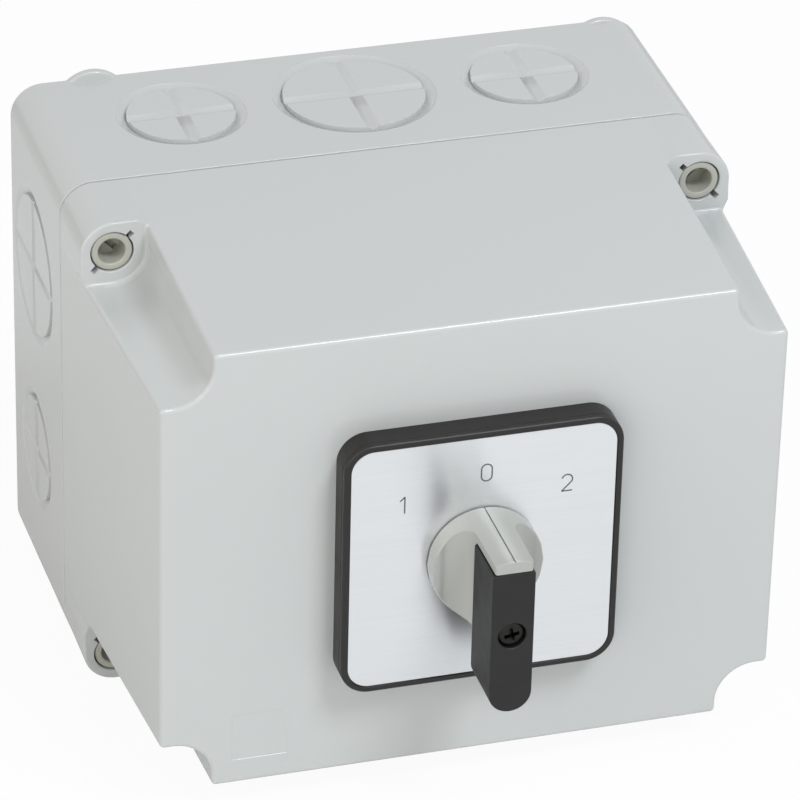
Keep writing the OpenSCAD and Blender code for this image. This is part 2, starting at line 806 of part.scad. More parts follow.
module drive_shaft() {
    color("#b9bdc0") difference() {
        union() {
            rod(rear_journal_d / 2, rear_z0 + rear_web + pass_gap, rear_z1);
            square_rod(rear_z1, journal_z0, 0);
            rod(journal_d / 2, journal_z0, hub_z0);
            square_rod(hub_z0, shaft_z1, 0);
        }
        rod(hub_screw_d / 2, shaft_z1 - hub_screw_l - seat_gap, shaft_z1 + over);
    }
}

module shaft_seal() {
    color("#232425") translate([0, 0, seal_z]) rotate_extrude()
        translate([seal_r, 0]) circle(seal_wire / 2);
}

module body_outline() {
    rounded_rect(body_w, body_h, body_r);
}

module tie_holes(z0, z1) {
    for (sy = [-1, 1]) translate([0, sy * tie_y, 0]) rod(tie_d / 2 + seat_gap, z0, z1);
}

module latch_room() {
    slot_angle = index_angle + stop_half_angle + stop_slack_angle;
    circle(star_r + star_gap);
    square([2 * (leaf_x + leaf_t + pass_gap), 2 * (leaf_half_l + pass_gap)], center = true);
    sector(stop_r + pass_gap, 90 - slot_angle, 90 + slot_angle);
}

module latch_housing() {
    color("#2b2c2e") difference() {
        union() {
            prism(latch_z0, latch_z1) body_outline();
            rod(spigot_r, latch_z1, spigot_z1);
        }
        prism(latch_z0 - over, latch_z1 - latch_wall) latch_room();
        rod(journal_d / 2 + journal_gap, latch_z0, spigot_z1 + over);
        rod(seal_r + seal_wire / 2 + seat_gap, seal_z - seal_wire / 2 - seat_gap, spigot_z1 + over);
        tie_holes(latch_z0 - over, latch_z1);
        for (sy = [-1, 1]) translate([0, sy * tie_y, 0])
            rod(tie_head_r + spigot_gap, latch_z1 - tie_head_t - seat_gap, latch_z1 + over);
        at_corners(plate_screw_pitch / 2, plate_screw_pitch / 2)
            rod(plate_screw_d / 2 + square_gap, plate_head_z - plate_screw_l - over, latch_z1 + over);
    }
}

// Three notches on each side hold the shaft in its positions, and the stop tooth limits its turn
module star_wheel() {
    color("#cfd2d4") difference() {
        prism(star_z0, star_z0 + star_t) {
            circle(star_r);
            sector(stop_r, 90 - stop_half_angle, 90 + stop_half_angle);
        }
        for (side = [0, 180], turn = [-index_angle, 0, index_angle])
            rotate([0, 0, side + turn]) translate([notch_centre_r, 0, 0])
                rod(star_notch_r, star_z0 - over, star_z0 + star_t + over);
        square_rod(star_z0 - over, star_z0 + star_t + over, square_gap);
    }
}

module detent_springs() {
    z0 = star_z0 + (star_t - leaf_w) / 2;
    color("#8f949a") for (mx = [0, 1]) mirror([mx, 0, 0]) prism(z0, z0 + leaf_w) {
        translate([leaf_x, -leaf_half_l]) square([leaf_t, 2 * leaf_half_l]);
        translate([notch_centre_r, 0]) circle(leaf_nose_r);
    }
}

// Radius of the cam at an angle from the +X side, read counter-clockwise from the front
function cam_radius(a) = cam_r - cam_rate * max(-cam_span_angle, min(cam_span_angle, a));
cam_points = [
    for (a = [-90:cam_step_angle:90]) let (r = cam_radius(a)) [r * cos(a), r * sin(a)],
    for (a = [90:-cam_step_angle:-90]) let (r = cam_radius(a)) [-r * cos(a), r * sin(a)]
];

module cam(n) {
    mid = stage_mid(n);
    color("#e3dcc4") difference() {
        prism(mid - cam_t / 2, mid + cam_t / 2) polygon(cam_points);
        square_rod(mid - cam_t, mid + cam_t, square_gap);
    }
}

// Hollow of one stage: cam room, and on each side the carrier's guide and contact chamber
module stage_room(n) {
    z0 = stage_z0(n);
    z1 = z0 + stage_t - stage_floor_t;
    slot_z1 = stage_mid(n) + bar_h / 2 + seat_gap;
    rod(cam_cavity_r, z0 - over, z1);
    for (mx = [0, 1]) mirror([mx, 0, 0]) {
        block(0, chamber_in + over, -stem_w / 2 - stem_gap, stem_w / 2 + stem_gap, z0 - over, z1);
        block(chamber_in, chamber_out, -chamber_half, chamber_half, z0 - over, z1);
        block(chamber_in, spring_x1, -spring_room, spring_room, z0 - over, z1);
        for (my = [0, 1]) mirror([0, my, 0]) {
            block(bar_x - seat_gap, bar_out + seat_gap, slot_in_y, body_h / 2 + over, z0 - over, slot_z1);
            block(bar_out, chamber_in + over, slot_in_y, chamber_half, z0 - over, slot_z1);
        }
    }
}

module stage_housing(n) {
    z0 = stage_z0(n);
    color("#d8cfb6") difference() {
        union() {
            prism(z0, z0 + stage_t) body_outline();
            for (mx = [0, 1], my = [0, 1]) mirror([mx, 0, 0]) mirror([0, my, 0])
                block(shelf_x0, shelf_x1, body_h / 2 - over, shelf_y1, z0 + stage_t - shelf_t, z0 + stage_t);
        }
        stage_room(n);
        rod(shaft_hole_r, z0, z0 + stage_t + over);
        tie_holes(z0 - over, z0 + stage_t + over);
    }
}

module rear_plate() {
    color("#2b2c2e") difference() {
        prism(rear_z0, rear_z1) body_outline();
        rod(rear_journal_d / 2 + journal_gap, rear_z0 + rear_web, rear_z1 + over);
        tie_holes(rear_z0 - over, rear_z1 + over);
    }
}

module tie_bolts() {
    head_z0 = latch_z1 - tie_head_t - seat_gap;
    color("silver") for (sy = [-1, 1]) translate([0, sy * tie_y, 0]) difference() {
        union() {
            rod(tie_head_r, head_z0, head_z0 + tie_head_t);
            rod(tie_d / 2, rear_z0 - tie_nut_t - tie_tail, head_z0);
        }
        block(-tie_head_r, tie_head_r, -recess_w / 2, recess_w / 2,
            head_z0 + tie_head_t - recess_w, head_z0 + tie_head_t + over);
    }
}

module tie_nuts() {
    nut_sides = 6;
    color("silver") for (sy = [-1, 1]) translate([0, sy * tie_y, rear_z0 - tie_nut_t]) difference() {
        cylinder(r = tie_nut_r, h = tie_nut_t, $fn = nut_sides);
        rod(tie_d / 2 + square_gap, -over, tie_nut_t + over);
    }
}

// side is 0 for the right-hand contact and 1 for its mirror image on the left
module contact_side(side) {
    mirror([side, 0, 0]) children();
}

module carrier(n, side) {
    mid = stage_mid(n);
    half_t = stem_t / 2;
    color("#4a4d52") contact_side(side) difference() {
        union() {
            translate([nose_x, 0, 0]) rod(nose_r, mid - half_t, mid + half_t);
            block(nose_x, spring_x0, -nose_r, nose_r, mid - half_t, mid + half_t);
            block(nose_x + nose_r, spring_x0, -stem_w / 2, stem_w / 2, mid - half_t, mid + half_t);
            translate([spring_x0 - seat_t, 0, mid]) rotate([0, 90, 0]) rod(seat_r, 0, seat_t);
        }
        block(bridge_x - square_gap, bridge_x + bridge_t + square_gap, -stem_w, stem_w,
            mid - bar_h / 2 - square_gap, mid + bar_h / 2 + square_gap);
    }
}

module bridge(n, side) {
    mid = stage_mid(n);
    color("#b87a4b") contact_side(side) {
        block(bridge_x, bridge_x + bridge_t, -bridge_l / 2, bridge_l / 2, mid - bar_h / 2, mid + bar_h / 2);
        for (sy = [-1, 1]) translate([bridge_tip_x, sy * tip_y - tip_w / 2, mid - tip_w / 2])
            cube([tip_t, tip_w, tip_w]);
    }
}

// Rings of one spring along +X, and the tube of six sides that joins them
rings_per_curl = 8;
spring_sides = 6;
spring_rings = spring_curls * rings_per_curl;
coil_r = (spring_d - spring_wire) / 2;
spring_start = spring_x0 + spring_wire / 2 + square_gap;
spring_rise = spring_x1 - spring_x0 - spring_wire - 2 * square_gap;
function coil_point(i) = let (a = 360 * i / rings_per_curl)
    [spring_start + spring_rise * i / spring_rings, coil_r * cos(a), coil_r * sin(a)];
function coil_heading(i) = let (a = 360 * i / rings_per_curl, w = 2 * PI * coil_r * spring_curls)
    [spring_rise, -w * sin(a), w * cos(a)] / norm([spring_rise, w]);
function coil_ring(i) = let (
        a = 360 * i / rings_per_curl, out = [0, cos(a), sin(a)], side = cross(coil_heading(i), out))
    [for (k = [0:spring_sides - 1]) let (b = 360 * k / spring_sides)
        coil_point(i) + spring_wire / 2 * (cos(b) * out + sin(b) * side)];
coil_gap = min([for (i = [0:spring_rings - rings_per_curl], k = [4:rings_per_curl])
    norm(coil_point(i + k) - coil_point(i))]) - spring_wire;
echo(least_gap_between_spring_curls_mm = coil_gap);

module contact_spring(n, side) {
    points = [for (i = [0:spring_rings]) each coil_ring(i)];
    last = spring_rings * spring_sides;
    faces = concat(
        [for (i = [0:spring_rings - 1], k = [0:spring_sides - 1])
            let (p = i * spring_sides + k, q = i * spring_sides + (k + 1) % spring_sides)
            each [[p, p + spring_sides, q], [q, p + spring_sides, q + spring_sides]]],
        [for (k = [1:spring_sides - 2]) [0, k, k + 1]],
        [for (k = [1:spring_sides - 2]) [last, last + k + 1, last + k]]);
    color("#a9adb1") contact_side(side) translate([0, 0, stage_mid(n)])
        polyhedron(points = points, faces = faces);
}

// Bars run from the silver tips through the housing to the terminals above and below it
module fixed_contacts(n) {
    mid = stage_mid(n);
    color("#b87a4b") for (mx = [0, 1], my = [0, 1]) mirror([mx, 0, 0]) mirror([0, my, 0]) {
        difference() {
            block(bar_x, bar_out, tip_y - tip_w / 2, bar_end_y, mid - bar_h / 2, mid + bar_h / 2);
            translate([0, terminal_y, mid]) rotate([0, 90, 0])
                rod(terminal_d / 2 + square_gap, bar_x - over, bar_out + over);
        }
        block(bar_out, tip_out, tip_y - tip_w / 2, tip_y + tip_w / 2, mid - tip_w / 2, mid + tip_w / 2);
    }
}

module at_terminals() {
    for (n = stage_list, mx = [0, 1], my = [0, 1])
        mirror([mx, 0, 0]) mirror([0, my, 0]) translate([bar_out, terminal_y, stage_mid(n)])
            rotate([0, 90, 0]) children();
}

module terminal_clamps() {
    color("#c9cdd0") at_terminals() difference() {
        prism(clamp_open, clamp_open + clamp_t) square([clamp_w, clamp_w], center = true);
        rod(terminal_d / 2 + square_gap, 0, clamp_open + clamp_t + over);
    }
}

module terminal_screws() {
    head_z0 = clamp_open + clamp_t;
    color("silver") at_terminals() difference() {
        union() {
            rod(terminal_head_r, head_z0, head_z0 + terminal_head_t);
            rod(terminal_d / 2, -bar_t - terminal_tail, head_z0);
        }
        block(-terminal_head_r, terminal_head_r, -recess_w / 2, recess_w / 2,
            head_z0 + terminal_head_t - recess_w, head_z0 + terminal_head_t + over);
    }
}

// On the line side one link joins the two contacts of each stage
module line_links() {
    color("#c08050") for (n = stage_list)
        block(-bar_out, bar_out, bar_end_y, bar_end_y + link_t,
            stage_mid(n) - link_w / 2, stage_mid(n) + link_w / 2);
}

// A strap between two stages that crosses from the right side to the left
module crossed_strap(from_n, to_n, y) {
    half = link_w / 2;
    a = stage_mid(from_n);
    b = stage_mid(to_n);
    translate([0, y, 0]) rotate([90, 0, 0]) linear_extrude(height = link_t) polygon([
        [bar_x - half, a - half], [bar_out, a - half], [bar_out, a + half], [bar_x - half, a + half],
        [half - bar_x, b + half], [-bar_out, b + half], [-bar_out, b - half], [half - bar_x, b - half]
    ]);
}

// On the load side two crossed straps swap two of the phases, and the third runs straight
module load_links() {
    mid_3 = stage_mid(3);
    step_y = bar_end_y + link_t + link_step;
    color("#c08050") {
        block(-bar_out, bar_out, -bar_end_y - link_t, -bar_end_y, mid_3 - link_w / 2, mid_3 + link_w / 2);
        crossed_strap(1, 2, -bar_end_y);
        crossed_strap(2, 1, -step_y);
        for (end = [[1, 2], [-1, 1]])
            translate([end[0] * (bar_out - link_t) - link_t, -step_y, stage_mid(end[1]) - link_w / 2])
                cube([2 * link_t, step_y - bar_end_y, link_w]);
    }
}

module earth_terminal() {
    z0 = wall_t + boss_h;
    color("#c9a85a") translate([-earth_x, 0, 0]) difference() {
        block(-earth_l / 2 + seat_gap, earth_l / 2, -earth_w / 2, earth_w / 2, z0, z0 + earth_t);
        rod(earth_screw_r + seat_gap, z0 - over, z0 + earth_t + over);
    }
}

module earth_screw() {
    z1 = wall_t + boss_h + earth_t;
    color("#b9bdc0") translate([-earth_x, 0, 0]) difference() {
        union() {
            rod(earth_head_r, z1, z1 + earth_head_t);
            rod(earth_screw_r - square_gap, wall_t + seat_gap, z1);
        }
        cross_recess(z1 + earth_head_t);
    }
}

upright() base_box();
upright() front_cover();
upright() cover_gasket();
upright() cover_screw(1, 0);  // cover_screw_tl
upright() cover_screw(0, 0);  // cover_screw_tr
upright() cover_screw(1, 1);  // cover_screw_bl
upright() cover_screw(0, 1);  // cover_screw_br
upright() plate_frame();
upright() legend_plate();
upright() plate_gasket();
upright() plate_screws();
upright() knob_hub();
upright() lever_handle();
upright() handle_screw();
upright() hub_screw();
upright() drive_shaft();
upright() shaft_seal();
upright() latch_housing();
upright() star_wheel();
upright() detent_springs();
upright() cam(1);  // cam_1
upright() cam(2);  // cam_2
upright() cam(3);  // cam_3
upright() stage_housing(1);  // stage_housing_1
upright() stage_housing(2);  // stage_housing_2
upright() stage_housing(3);  // stage_housing_3
upright() rear_plate();
upright() tie_bolts();
upright() tie_nuts();
upright() carrier(1, 0);  // carrier_1r
upright() carrier(1, 1);  // carrier_1l
upright() carrier(2, 0);  // carrier_2r
upright() carrier(2, 1);  // carrier_2l
upright() carrier(3, 0);  // carrier_3r
upright() carrier(3, 1);  // carrier_3l
upright() bridge(1, 0);  // bridge_1r
upright() bridge(1, 1);  // bridge_1l
upright() bridge(2, 0);  // bridge_2r
upright() bridge(2, 1);  // bridge_2l
upright() bridge(3, 0);  // bridge_3r
upright() bridge(3, 1);  // bridge_3l
upright() contact_spring(1, 0);  // contact_spring_1r
upright() contact_spring(1, 1);  // contact_spring_1l
upright() contact_spring(2, 0);  // contact_spring_2r
upright() contact_spring(2, 1);  // contact_spring_2l
upright() contact_spring(3, 0);  // contact_spring_3r
upright() contact_spring(3, 1);  // contact_spring_3l
upright() fixed_contacts(1);  // fixed_contacts_1
upright() fixed_contacts(2);  // fixed_contacts_2
upright() fixed_contacts(3);  // fixed_contacts_3
upright() terminal_clamps();
upright() terminal_screws();
upright() line_links();
upright() load_links();
upright() earth_terminal();
upright() earth_screw();
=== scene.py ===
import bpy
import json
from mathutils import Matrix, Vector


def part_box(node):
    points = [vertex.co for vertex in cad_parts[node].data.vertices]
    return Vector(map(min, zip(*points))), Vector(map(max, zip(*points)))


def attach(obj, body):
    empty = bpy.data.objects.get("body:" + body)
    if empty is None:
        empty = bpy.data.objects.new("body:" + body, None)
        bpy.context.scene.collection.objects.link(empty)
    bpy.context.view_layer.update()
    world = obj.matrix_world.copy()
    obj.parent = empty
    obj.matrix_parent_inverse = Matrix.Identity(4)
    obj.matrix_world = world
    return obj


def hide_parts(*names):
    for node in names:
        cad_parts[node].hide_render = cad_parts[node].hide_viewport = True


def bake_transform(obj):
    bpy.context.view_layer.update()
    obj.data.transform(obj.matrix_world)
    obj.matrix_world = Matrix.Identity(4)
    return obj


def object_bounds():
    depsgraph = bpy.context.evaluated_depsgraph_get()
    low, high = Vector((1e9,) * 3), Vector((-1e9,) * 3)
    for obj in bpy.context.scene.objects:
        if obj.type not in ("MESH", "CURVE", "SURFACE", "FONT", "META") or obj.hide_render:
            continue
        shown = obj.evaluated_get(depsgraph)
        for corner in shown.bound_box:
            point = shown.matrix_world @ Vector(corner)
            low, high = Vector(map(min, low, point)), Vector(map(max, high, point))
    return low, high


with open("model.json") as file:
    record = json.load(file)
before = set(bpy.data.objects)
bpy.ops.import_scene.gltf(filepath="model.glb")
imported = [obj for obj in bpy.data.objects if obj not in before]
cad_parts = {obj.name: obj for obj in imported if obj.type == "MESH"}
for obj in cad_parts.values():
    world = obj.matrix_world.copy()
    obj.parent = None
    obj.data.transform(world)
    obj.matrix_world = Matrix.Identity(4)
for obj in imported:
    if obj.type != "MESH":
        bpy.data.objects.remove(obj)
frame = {"nodes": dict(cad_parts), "record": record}
cadBox = [[float(v) for v in corner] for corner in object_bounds()]

import json
import math
import bmesh
import bpy
import numpy as np
from mathutils import Matrix, Vector

scene = bpy.context.scene
scene.view_settings.view_transform = "Standard"

# Everything is worked out in millimetres with the switch lying on its back: x to the right,
# y up the front face, z off the wall. toFrame stands it up and turns it to metres.


def toFrame(points):
    p = np.asarray(points, float)
    return np.stack([p[..., 0], -p[..., 2], p[..., 1]], -1) * 0.001


def fromFrame(node):
    low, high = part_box(node)
    a, b = np.array(low) * 1000, np.array(high) * 1000
    return np.array([a[0], a[2], -b[1]]), np.array([b[0], b[2], -a[1]])


# ---- camera

view = {
    "targetMm": (3.76, -60.0, -4.84),
    "distanceMm": 1362.95,
    "azimuthDeg": -16.96,      # positive is a step to the right
    "elevationDeg": 30.69,
    "rollDeg": 1.44,
    "lensMm": 237.1,
    "sensorMm": 36.0,
}

azimuth, elevation = math.radians(view["azimuthDeg"]), math.radians(view["elevationDeg"])
outward = Vector((
    math.sin(azimuth) * math.cos(elevation),
    -math.cos(azimuth) * math.cos(elevation),
    math.sin(elevation)))
camera = bpy.data.objects.new("camera", bpy.data.cameras.new("camera"))
camera.data.lens = view["lensMm"]
camera.data.sensor_width = view["sensorMm"]
camera.data.clip_start, camera.data.clip_end = 0.05, 20
camera.location = Vector(view["targetMm"]) * 0.001 + outward * view["distanceMm"] * 0.001
aim = (-outward).to_track_quat("-Z", "Y").to_matrix().to_4x4()
camera.rotation_euler = (aim @ Matrix.Rotation(math.radians(view["rollDeg"]), 4, "Z")).to_euler()
scene.collection.objects.link(camera)
scene.camera = camera
print("camera is set")


# ---- shapes as whole arrays

# points of each corner: a rounded edge, a flat flank, the arc, and both again
edgeSteps, flankSteps, arcSteps = 6, 12, 28
midSteps = 2 * flankSteps + arcSteps


def aroundCorners(corner):
    # the upper right corner's points, mirrored round the outline, counter-clockwise
    flip = corner[::-1]
    return np.concatenate([corner, flip * (-1, 1), -corner, flip * (1, -1)])


def roundedOutline(w, h, r, reach):
    # a straight stretch up to the corner, a quarter circle, a straight stretch away from it;
    # reach: how far from the corner the first point lies
    along = np.linspace(reach, r, edgeSteps, endpoint=False)
    side = np.stack([np.full_like(along, w / 2), h / 2 - along], 1)
    turn = np.linspace(0, math.pi / 2, midSteps)
    arc = np.stack([w / 2 - r + r * np.cos(turn), h / 2 - r + r * np.sin(turn)], 1)
    top = np.stack([w / 2 - along[::-1], np.full_like(along, h / 2)], 1)
    return aroundCorners(np.concatenate([side, arc, top]))


def bittenOutline(w, h, inset, r, f):
    # a circle of radius r, centred inset from both sides, bites off each corner;
    # circles of radius f, touching it and a side, round the two edges of the bite
    gap = math.sqrt((r + f) ** 2 - (inset - f) ** 2)
    centre = np.array([w / 2 - inset, h / 2 - inset])
    first = centre + (inset - f, -gap)
    second = centre + (-gap, inset - f)
    tilt = math.atan2(gap, f - inset)
    a = np.linspace(0, tilt, edgeSteps, endpoint=False)
    b = np.linspace(tilt + math.pi, 1.5 * math.pi - tilt, midSteps)
    c = np.linspace(math.pi / 2 - tilt, math.pi / 2, edgeSteps + 1)[1:]
    side = first + f * np.stack([np.cos(a), np.sin(a)], 1)
    arc = centre + r * np.stack([np.cos(b), np.sin(b)], 1)
    top = second + f * np.stack([np.cos(c), np.sin(c)], 1)
    return aroundCorners(np.concatenate([side, arc, top]))


def channelOutline(w, h, centre, r, f, room=0):
    # a notch round centre at each corner: from the side a flank runs in, a quarter circle of
    # radius r bends round centre, and a flank runs out again; f rounds the two outer edges.
    # Points nearer to centre than room are pushed out to that distance.
    cx, cy = centre
    a = np.linspace(0, math.pi / 2, edgeSteps, endpoint=False)
    first = np.stack([w / 2 - f + f * np.cos(a), cy - r - f + f * np.sin(a)], 1)
    x = np.linspace(w / 2 - f, cx, flankSteps, endpoint=False)
    flank = np.stack([x, np.full_like(x, cy - r)], 1)
    b = np.linspace(1.5 * math.pi, math.pi, arcSteps)
    arc = np.stack([cx + r * np.cos(b), cy + r * np.sin(b)], 1)
    y = np.linspace(cy, h / 2 - f, flankSteps + 1)[1:]
    rise = np.stack([np.full_like(y, cx - r), y], 1)
    a = np.linspace(0, math.pi / 2, edgeSteps + 1)[1:]
    second = np.stack([cx - r - f + f * np.cos(a), h / 2 - f + f * np.sin(a)], 1)
    corner = np.concatenate([first, flank, arc, rise, second])
    away = corner - centre
    far = np.linalg.norm(away, axis=1)[:, None]
    return aroundCorners(np.where(far < room, centre + away / far * room, corner))


def circleOutline(r, like):
    # a circle with its points in the same directions as those of another outline
    turn = np.arctan2(like[:, 1], like[:, 0])
    return r * np.stack([np.cos(turn), np.sin(turn)], 1)


def atHeight(outline, z):
    return np.column_stack([outline, np.broadcast_to(z, len(outline))])


def loft(rings, wrap=False):
    # quads between neighbouring rings; open ends are closed with one face each
    rings = np.asarray(rings, float)
    count, around = rings.shape[:2]
    last = count if wrap else count - 1
    k, m = np.meshgrid(np.arange(last), np.arange(around), indexing="ij")
    n, up = (m + 1) % around, (k + 1) % count
    quads = np.stack([k * around + m, k * around + n, up * around + n, up * around + m], -1)
    faces = quads.reshape(-1, 4).tolist()
    if not wrap:
        faces.append(list(range(around))[::-1])
        faces.append(list(range((count - 1) * around, count * around)))
    return rings.reshape(-1, 3), faces


def lathe(profile, steps=64, wrap=False):
    # a profile of (radius, height) turned about the z axis
    profile = np.asarray(profile, float)
    turn = np.linspace(0, 2 * math.pi, steps, endpoint=False)
    r, z = profile[:, 0, None], profile[:, 1, None]
    return loft(np.stack([r * np.cos(turn), r * np.sin(turn), z + 0 * turn], -1), wrap)


def bar(section, halfLength):
    # a closed section of (y, z) carried along x
    section = np.asarray(section, float)
    x = np.array([-halfLength, halfLength])[:, None] + 0 * section[:, 0]
    return loft(np.stack([x, section[:, 0] + 0 * x, section[:, 1] + 0 * x], -1))


def brick(low, high, flare=0):
    # a block whose upper face is wider by flare on each side
    rings = []
    for z, f in ((low[2], 0), (high[2], flare)):
        rings.append([[low[0] - f, low[1] - f, z], [high[0] + f, low[1] - f, z],
                      [high[0] + f, high[1] + f, z], [low[0] - f, high[1] + f, z]])
    return loft(rings)


def turned(shape, axis, degrees):
    spin = np.array(Matrix.Rotation(math.radians(degrees), 3, axis))
    return shape[0] @ spin.T, shape[1]


def moved(shape, x=0, y=0, z=0):
    return shape[0] + (x, y, z), shape[1]


def joined(shapes):
    points, faces, start = [], [], 0
    for p, f in shapes:
        points.append(p)
        faces += [[i + start for i in face] for face in f]
        start += len(p)
    return np.concatenate(points), faces


def quarter(n):
    # angles of a quarter circle, as pairs of (1 - cos, 1 - sin)
    a = np.linspace(0, math.pi / 2, n)
    return list(zip(1 - np.cos(a), 1 - np.sin(a)))


def newMesh(name, shape):
    mesh = bpy.data.meshes.new(name)
    mesh.from_pydata(toFrame(shape[0]).tolist(), [], shape[1])
    b = bmesh.new()
    b.from_mesh(mesh)
    bmesh.ops.remove_doubles(b, verts=b.verts, dist=2e-7)
    bmesh.ops.dissolve_degenerate(b, edges=b.edges, dist=1e-7)
    bmesh.ops.recalc_face_normals(b, faces=b.faces)
    b.to_mesh(mesh)
    b.free()
    return mesh


def newObject(name, shape):
    piece = bpy.data.objects.new(name, newMesh(name, shape))
    scene.collection.objects.link(piece)
    return piece


def settle(piece):
    # the modifiers' result becomes the mesh itself
    bpy.context.view_layer.update()
    done = bpy.data.meshes.new_from_object(piece.evaluated_get(bpy.context.evaluated_depsgraph_get()))
    piece.modifiers.clear()
    piece.data = done


def carve(piece, shapes, operation="DIFFERENCE"):
    for shape in shapes:
        tool = newObject("tool", shape)
        change = piece.modifiers.new("carve", "BOOLEAN")
        change.object, change.operation, change.solver = tool, operation, "EXACT"
        settle(piece)
        bpy.data.objects.remove(tool)


def finishPiece(piece, body, material, nodes=(), sharpDeg=35):
    mesh = piece.data
    mesh.polygons.foreach_set("use_smooth", np.ones(len(mesh.polygons), bool))
    mesh.set_sharp_from_angle(angle=math.radians(sharpDeg))
    weighted = piece.modifiers.new("evenNormals", "WEIGHTED_NORMAL")
    weighted.keep_sharp = True
    mesh.materials.clear()
    mesh.materials.append(material)
    if body:    # the contact springs have none and are left unattached
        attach(piece, body)
    if nodes:
        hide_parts(*nodes)


# ---- materials

def linear(hexColour):
    # an sRGB colour as the linear one that a shader takes
    c = np.array([int(hexColour[i:i + 2], 16) for i in (1, 3, 5)]) / 255
    c = np.where(c <= 0.04045, c / 12.92, ((c + 0.055) / 1.055) ** 2.4)
    return (*c.tolist(), 1.0)


def addNode(tree, kind, inputs=None, **settings):
    node = tree.nodes.new(kind)
    for key, value in settings.items():
        setattr(node, key, value)
    for key, value in (inputs or {}).items():
        if isinstance(value, bpy.types.NodeSocket):
            tree.links.new(value, node.inputs[key])
        else:
            node.inputs[key].default_value = value
    return node


def newMaterial(name):
    material = bpy.data.materials.new(name)
    material.use_nodes = True
    tree = material.node_tree
    tree.nodes.clear()
    shader = addNode(tree, "ShaderNodeBsdfPrincipled")
    addNode(tree, "ShaderNodeOutputMaterial", {"Surface": shader.outputs[0]})
    return material, tree, shader


def noiseAt(tree, sizesMm, detail=3.0, roughness=0.55):
    # noise whose grains have the given size along each axis
    place = addNode(tree, "ShaderNodeTexCoord").outputs["Object"]
    scale = tuple(1000 / s for s in sizesMm)
    mapped = addNode(tree, "ShaderNodeMapping", {"Vector": place, "Scale": scale})
    return addNode(tree, "ShaderNodeTexNoise", {
        "Vector": mapped.outputs[0], "Scale": 1.0, "Detail": detail, "Roughness": roughness}).outputs["Fac"]


def between(tree, value, low, high, fromLow=0.3, fromHigh=0.7):
    return addNode(tree, "ShaderNodeMapRange", {
        "Value": value, "From Min": fromLow, "From Max": fromHigh,
        "To Min": low, "To Max": high}).outputs[0]


def mixColours(tree, shader, factor, colours):
    mix = addNode(tree, "ShaderNodeMix", {"Factor": factor}, data_type="RGBA")
    ends = [s for s in mix.inputs if s.type == "RGBA"]
    ends[0].default_value, ends[1].default_value = linear(colours[0]), linear(colours[1])
    tree.links.new([s for s in mix.outputs if s.type == "RGBA"][0], shader.inputs["Base Color"])


def mouldedPlastic(name, colours, roughness, patchMm, grainMm, grainMicron, specular=0.5, coat=0.0):
    # colours: the darker and the lighter end of a slow drift; grain: the mould's spark texture
    material, tree, shader = newMaterial(name)
    drift = noiseAt(tree, (patchMm,) * 3, 0.0)
    mixColours(tree, shader, between(tree, drift, 0, 1, 0.0, 1.0), colours)
    drift = noiseAt(tree, (patchMm / 3,) * 3, 0.0)
    tree.links.new(between(tree, drift, *roughness, 0.0, 1.0), shader.inputs["Roughness"])
    bump = addNode(tree, "ShaderNodeBump", {
        "Height": noiseAt(tree, (grainMm,) * 3, 1.0), "Distance": grainMicron * 1e-6, "Strength": 1.0})
    tree.links.new(bump.outputs[0], shader.inputs["Normal"])
    shader.inputs["Specular IOR Level"].default_value = specular
    shader.inputs["Coat Weight"].default_value = coat
    return material


def workedMetal(name, colours, roughness, grainsMm, bumpMicron, anisotropy=0.0, tangent=False):
    # grainsMm: size of the marks that the tool or the bath leaves along x, y and z
    material, tree, shader = newMaterial(name)
    marks = noiseAt(tree, grainsMm, 4.0, 0.65)
    mixColours(tree, shader, between(tree, marks, 0, 1), colours)
    tree.links.new(between(tree, marks, *roughness), shader.inputs["Roughness"])
    bump = addNode(tree, "ShaderNodeBump", {
        "Height": marks, "Distance": bumpMicron * 1e-6, "Strength": 1.0})
    tree.links.new(bump.outputs[0], shader.inputs["Normal"])
    shader.inputs["Metallic"].default_value = 1.0
    shader.inputs["Anisotropic"].default_value = anisotropy
    if tangent:
        along = addNode(tree, "ShaderNodeTangent", direction_type="UV_MAP", uv_map="UVMap")
        tree.links.new(along.outputs[0], shader.inputs["Tangent"])
    return material


# Injection-moulded ABS, polished mould: even pale grey with soft gloss and a faint orange peel
boxAbs = mouldedPlastic("moulded grey ABS", ("#c8cbca", "#cacdcc"), (0.17, 0.22), 90, 2.0, 0.25)
# Moulded glass-filled nylon: near black with a brown cast, dull sheen from the spark-eroded mould
frameNylon = mouldedPlastic("moulded black nylon", ("#141210", "#181614"), (0.36, 0.46), 20, 0.35, 3)
# Moulded nylon from a polished mould: warm grey with clear highlights on its edges
hubNylon = mouldedPlastic(
    "moulded warm grey nylon", ("#adafaa", "#b0b2ad"), (0.17, 0.19), 18, 0.5, 0.5, 0.8)
# Moulded nylon with a coarse spark texture: neutral black that scatters a grey sheen
leverNylon = mouldedPlastic("textured black nylon", ("#0e0d0e", "#121112"), (0.5, 0.6), 12, 0.28, 6)
# Moulded nylon screws: cream grey, slightly waxy
screwNylon = mouldedPlastic("moulded cream nylon", ("#b3b3a8", "#b9b9af"), (0.30, 0.38), 8, 0.6, 1)
# Moulded nitrile rubber: black and dull
sealRubber = mouldedPlastic("moulded nitrile rubber", ("#1d1e1e", "#262727"), (0.6, 0.75), 6, 0.5, 6, 0.35)
# Glass-filled polyester for the contact stages: cream with a mealy, matt skin
stagePolyester = mouldedPlastic("moulded cream polyester", ("#cbc2a8", "#d8d0b8"), (0.45, 0.6), 9, 0.5, 8)
# Black glass-filled nylon of the latch housing and rear plate
latchNylon = mouldedPlastic("moulded glass-filled nylon", ("#242527", "#2f3032"), (0.42, 0.55), 10, 0.4, 6)
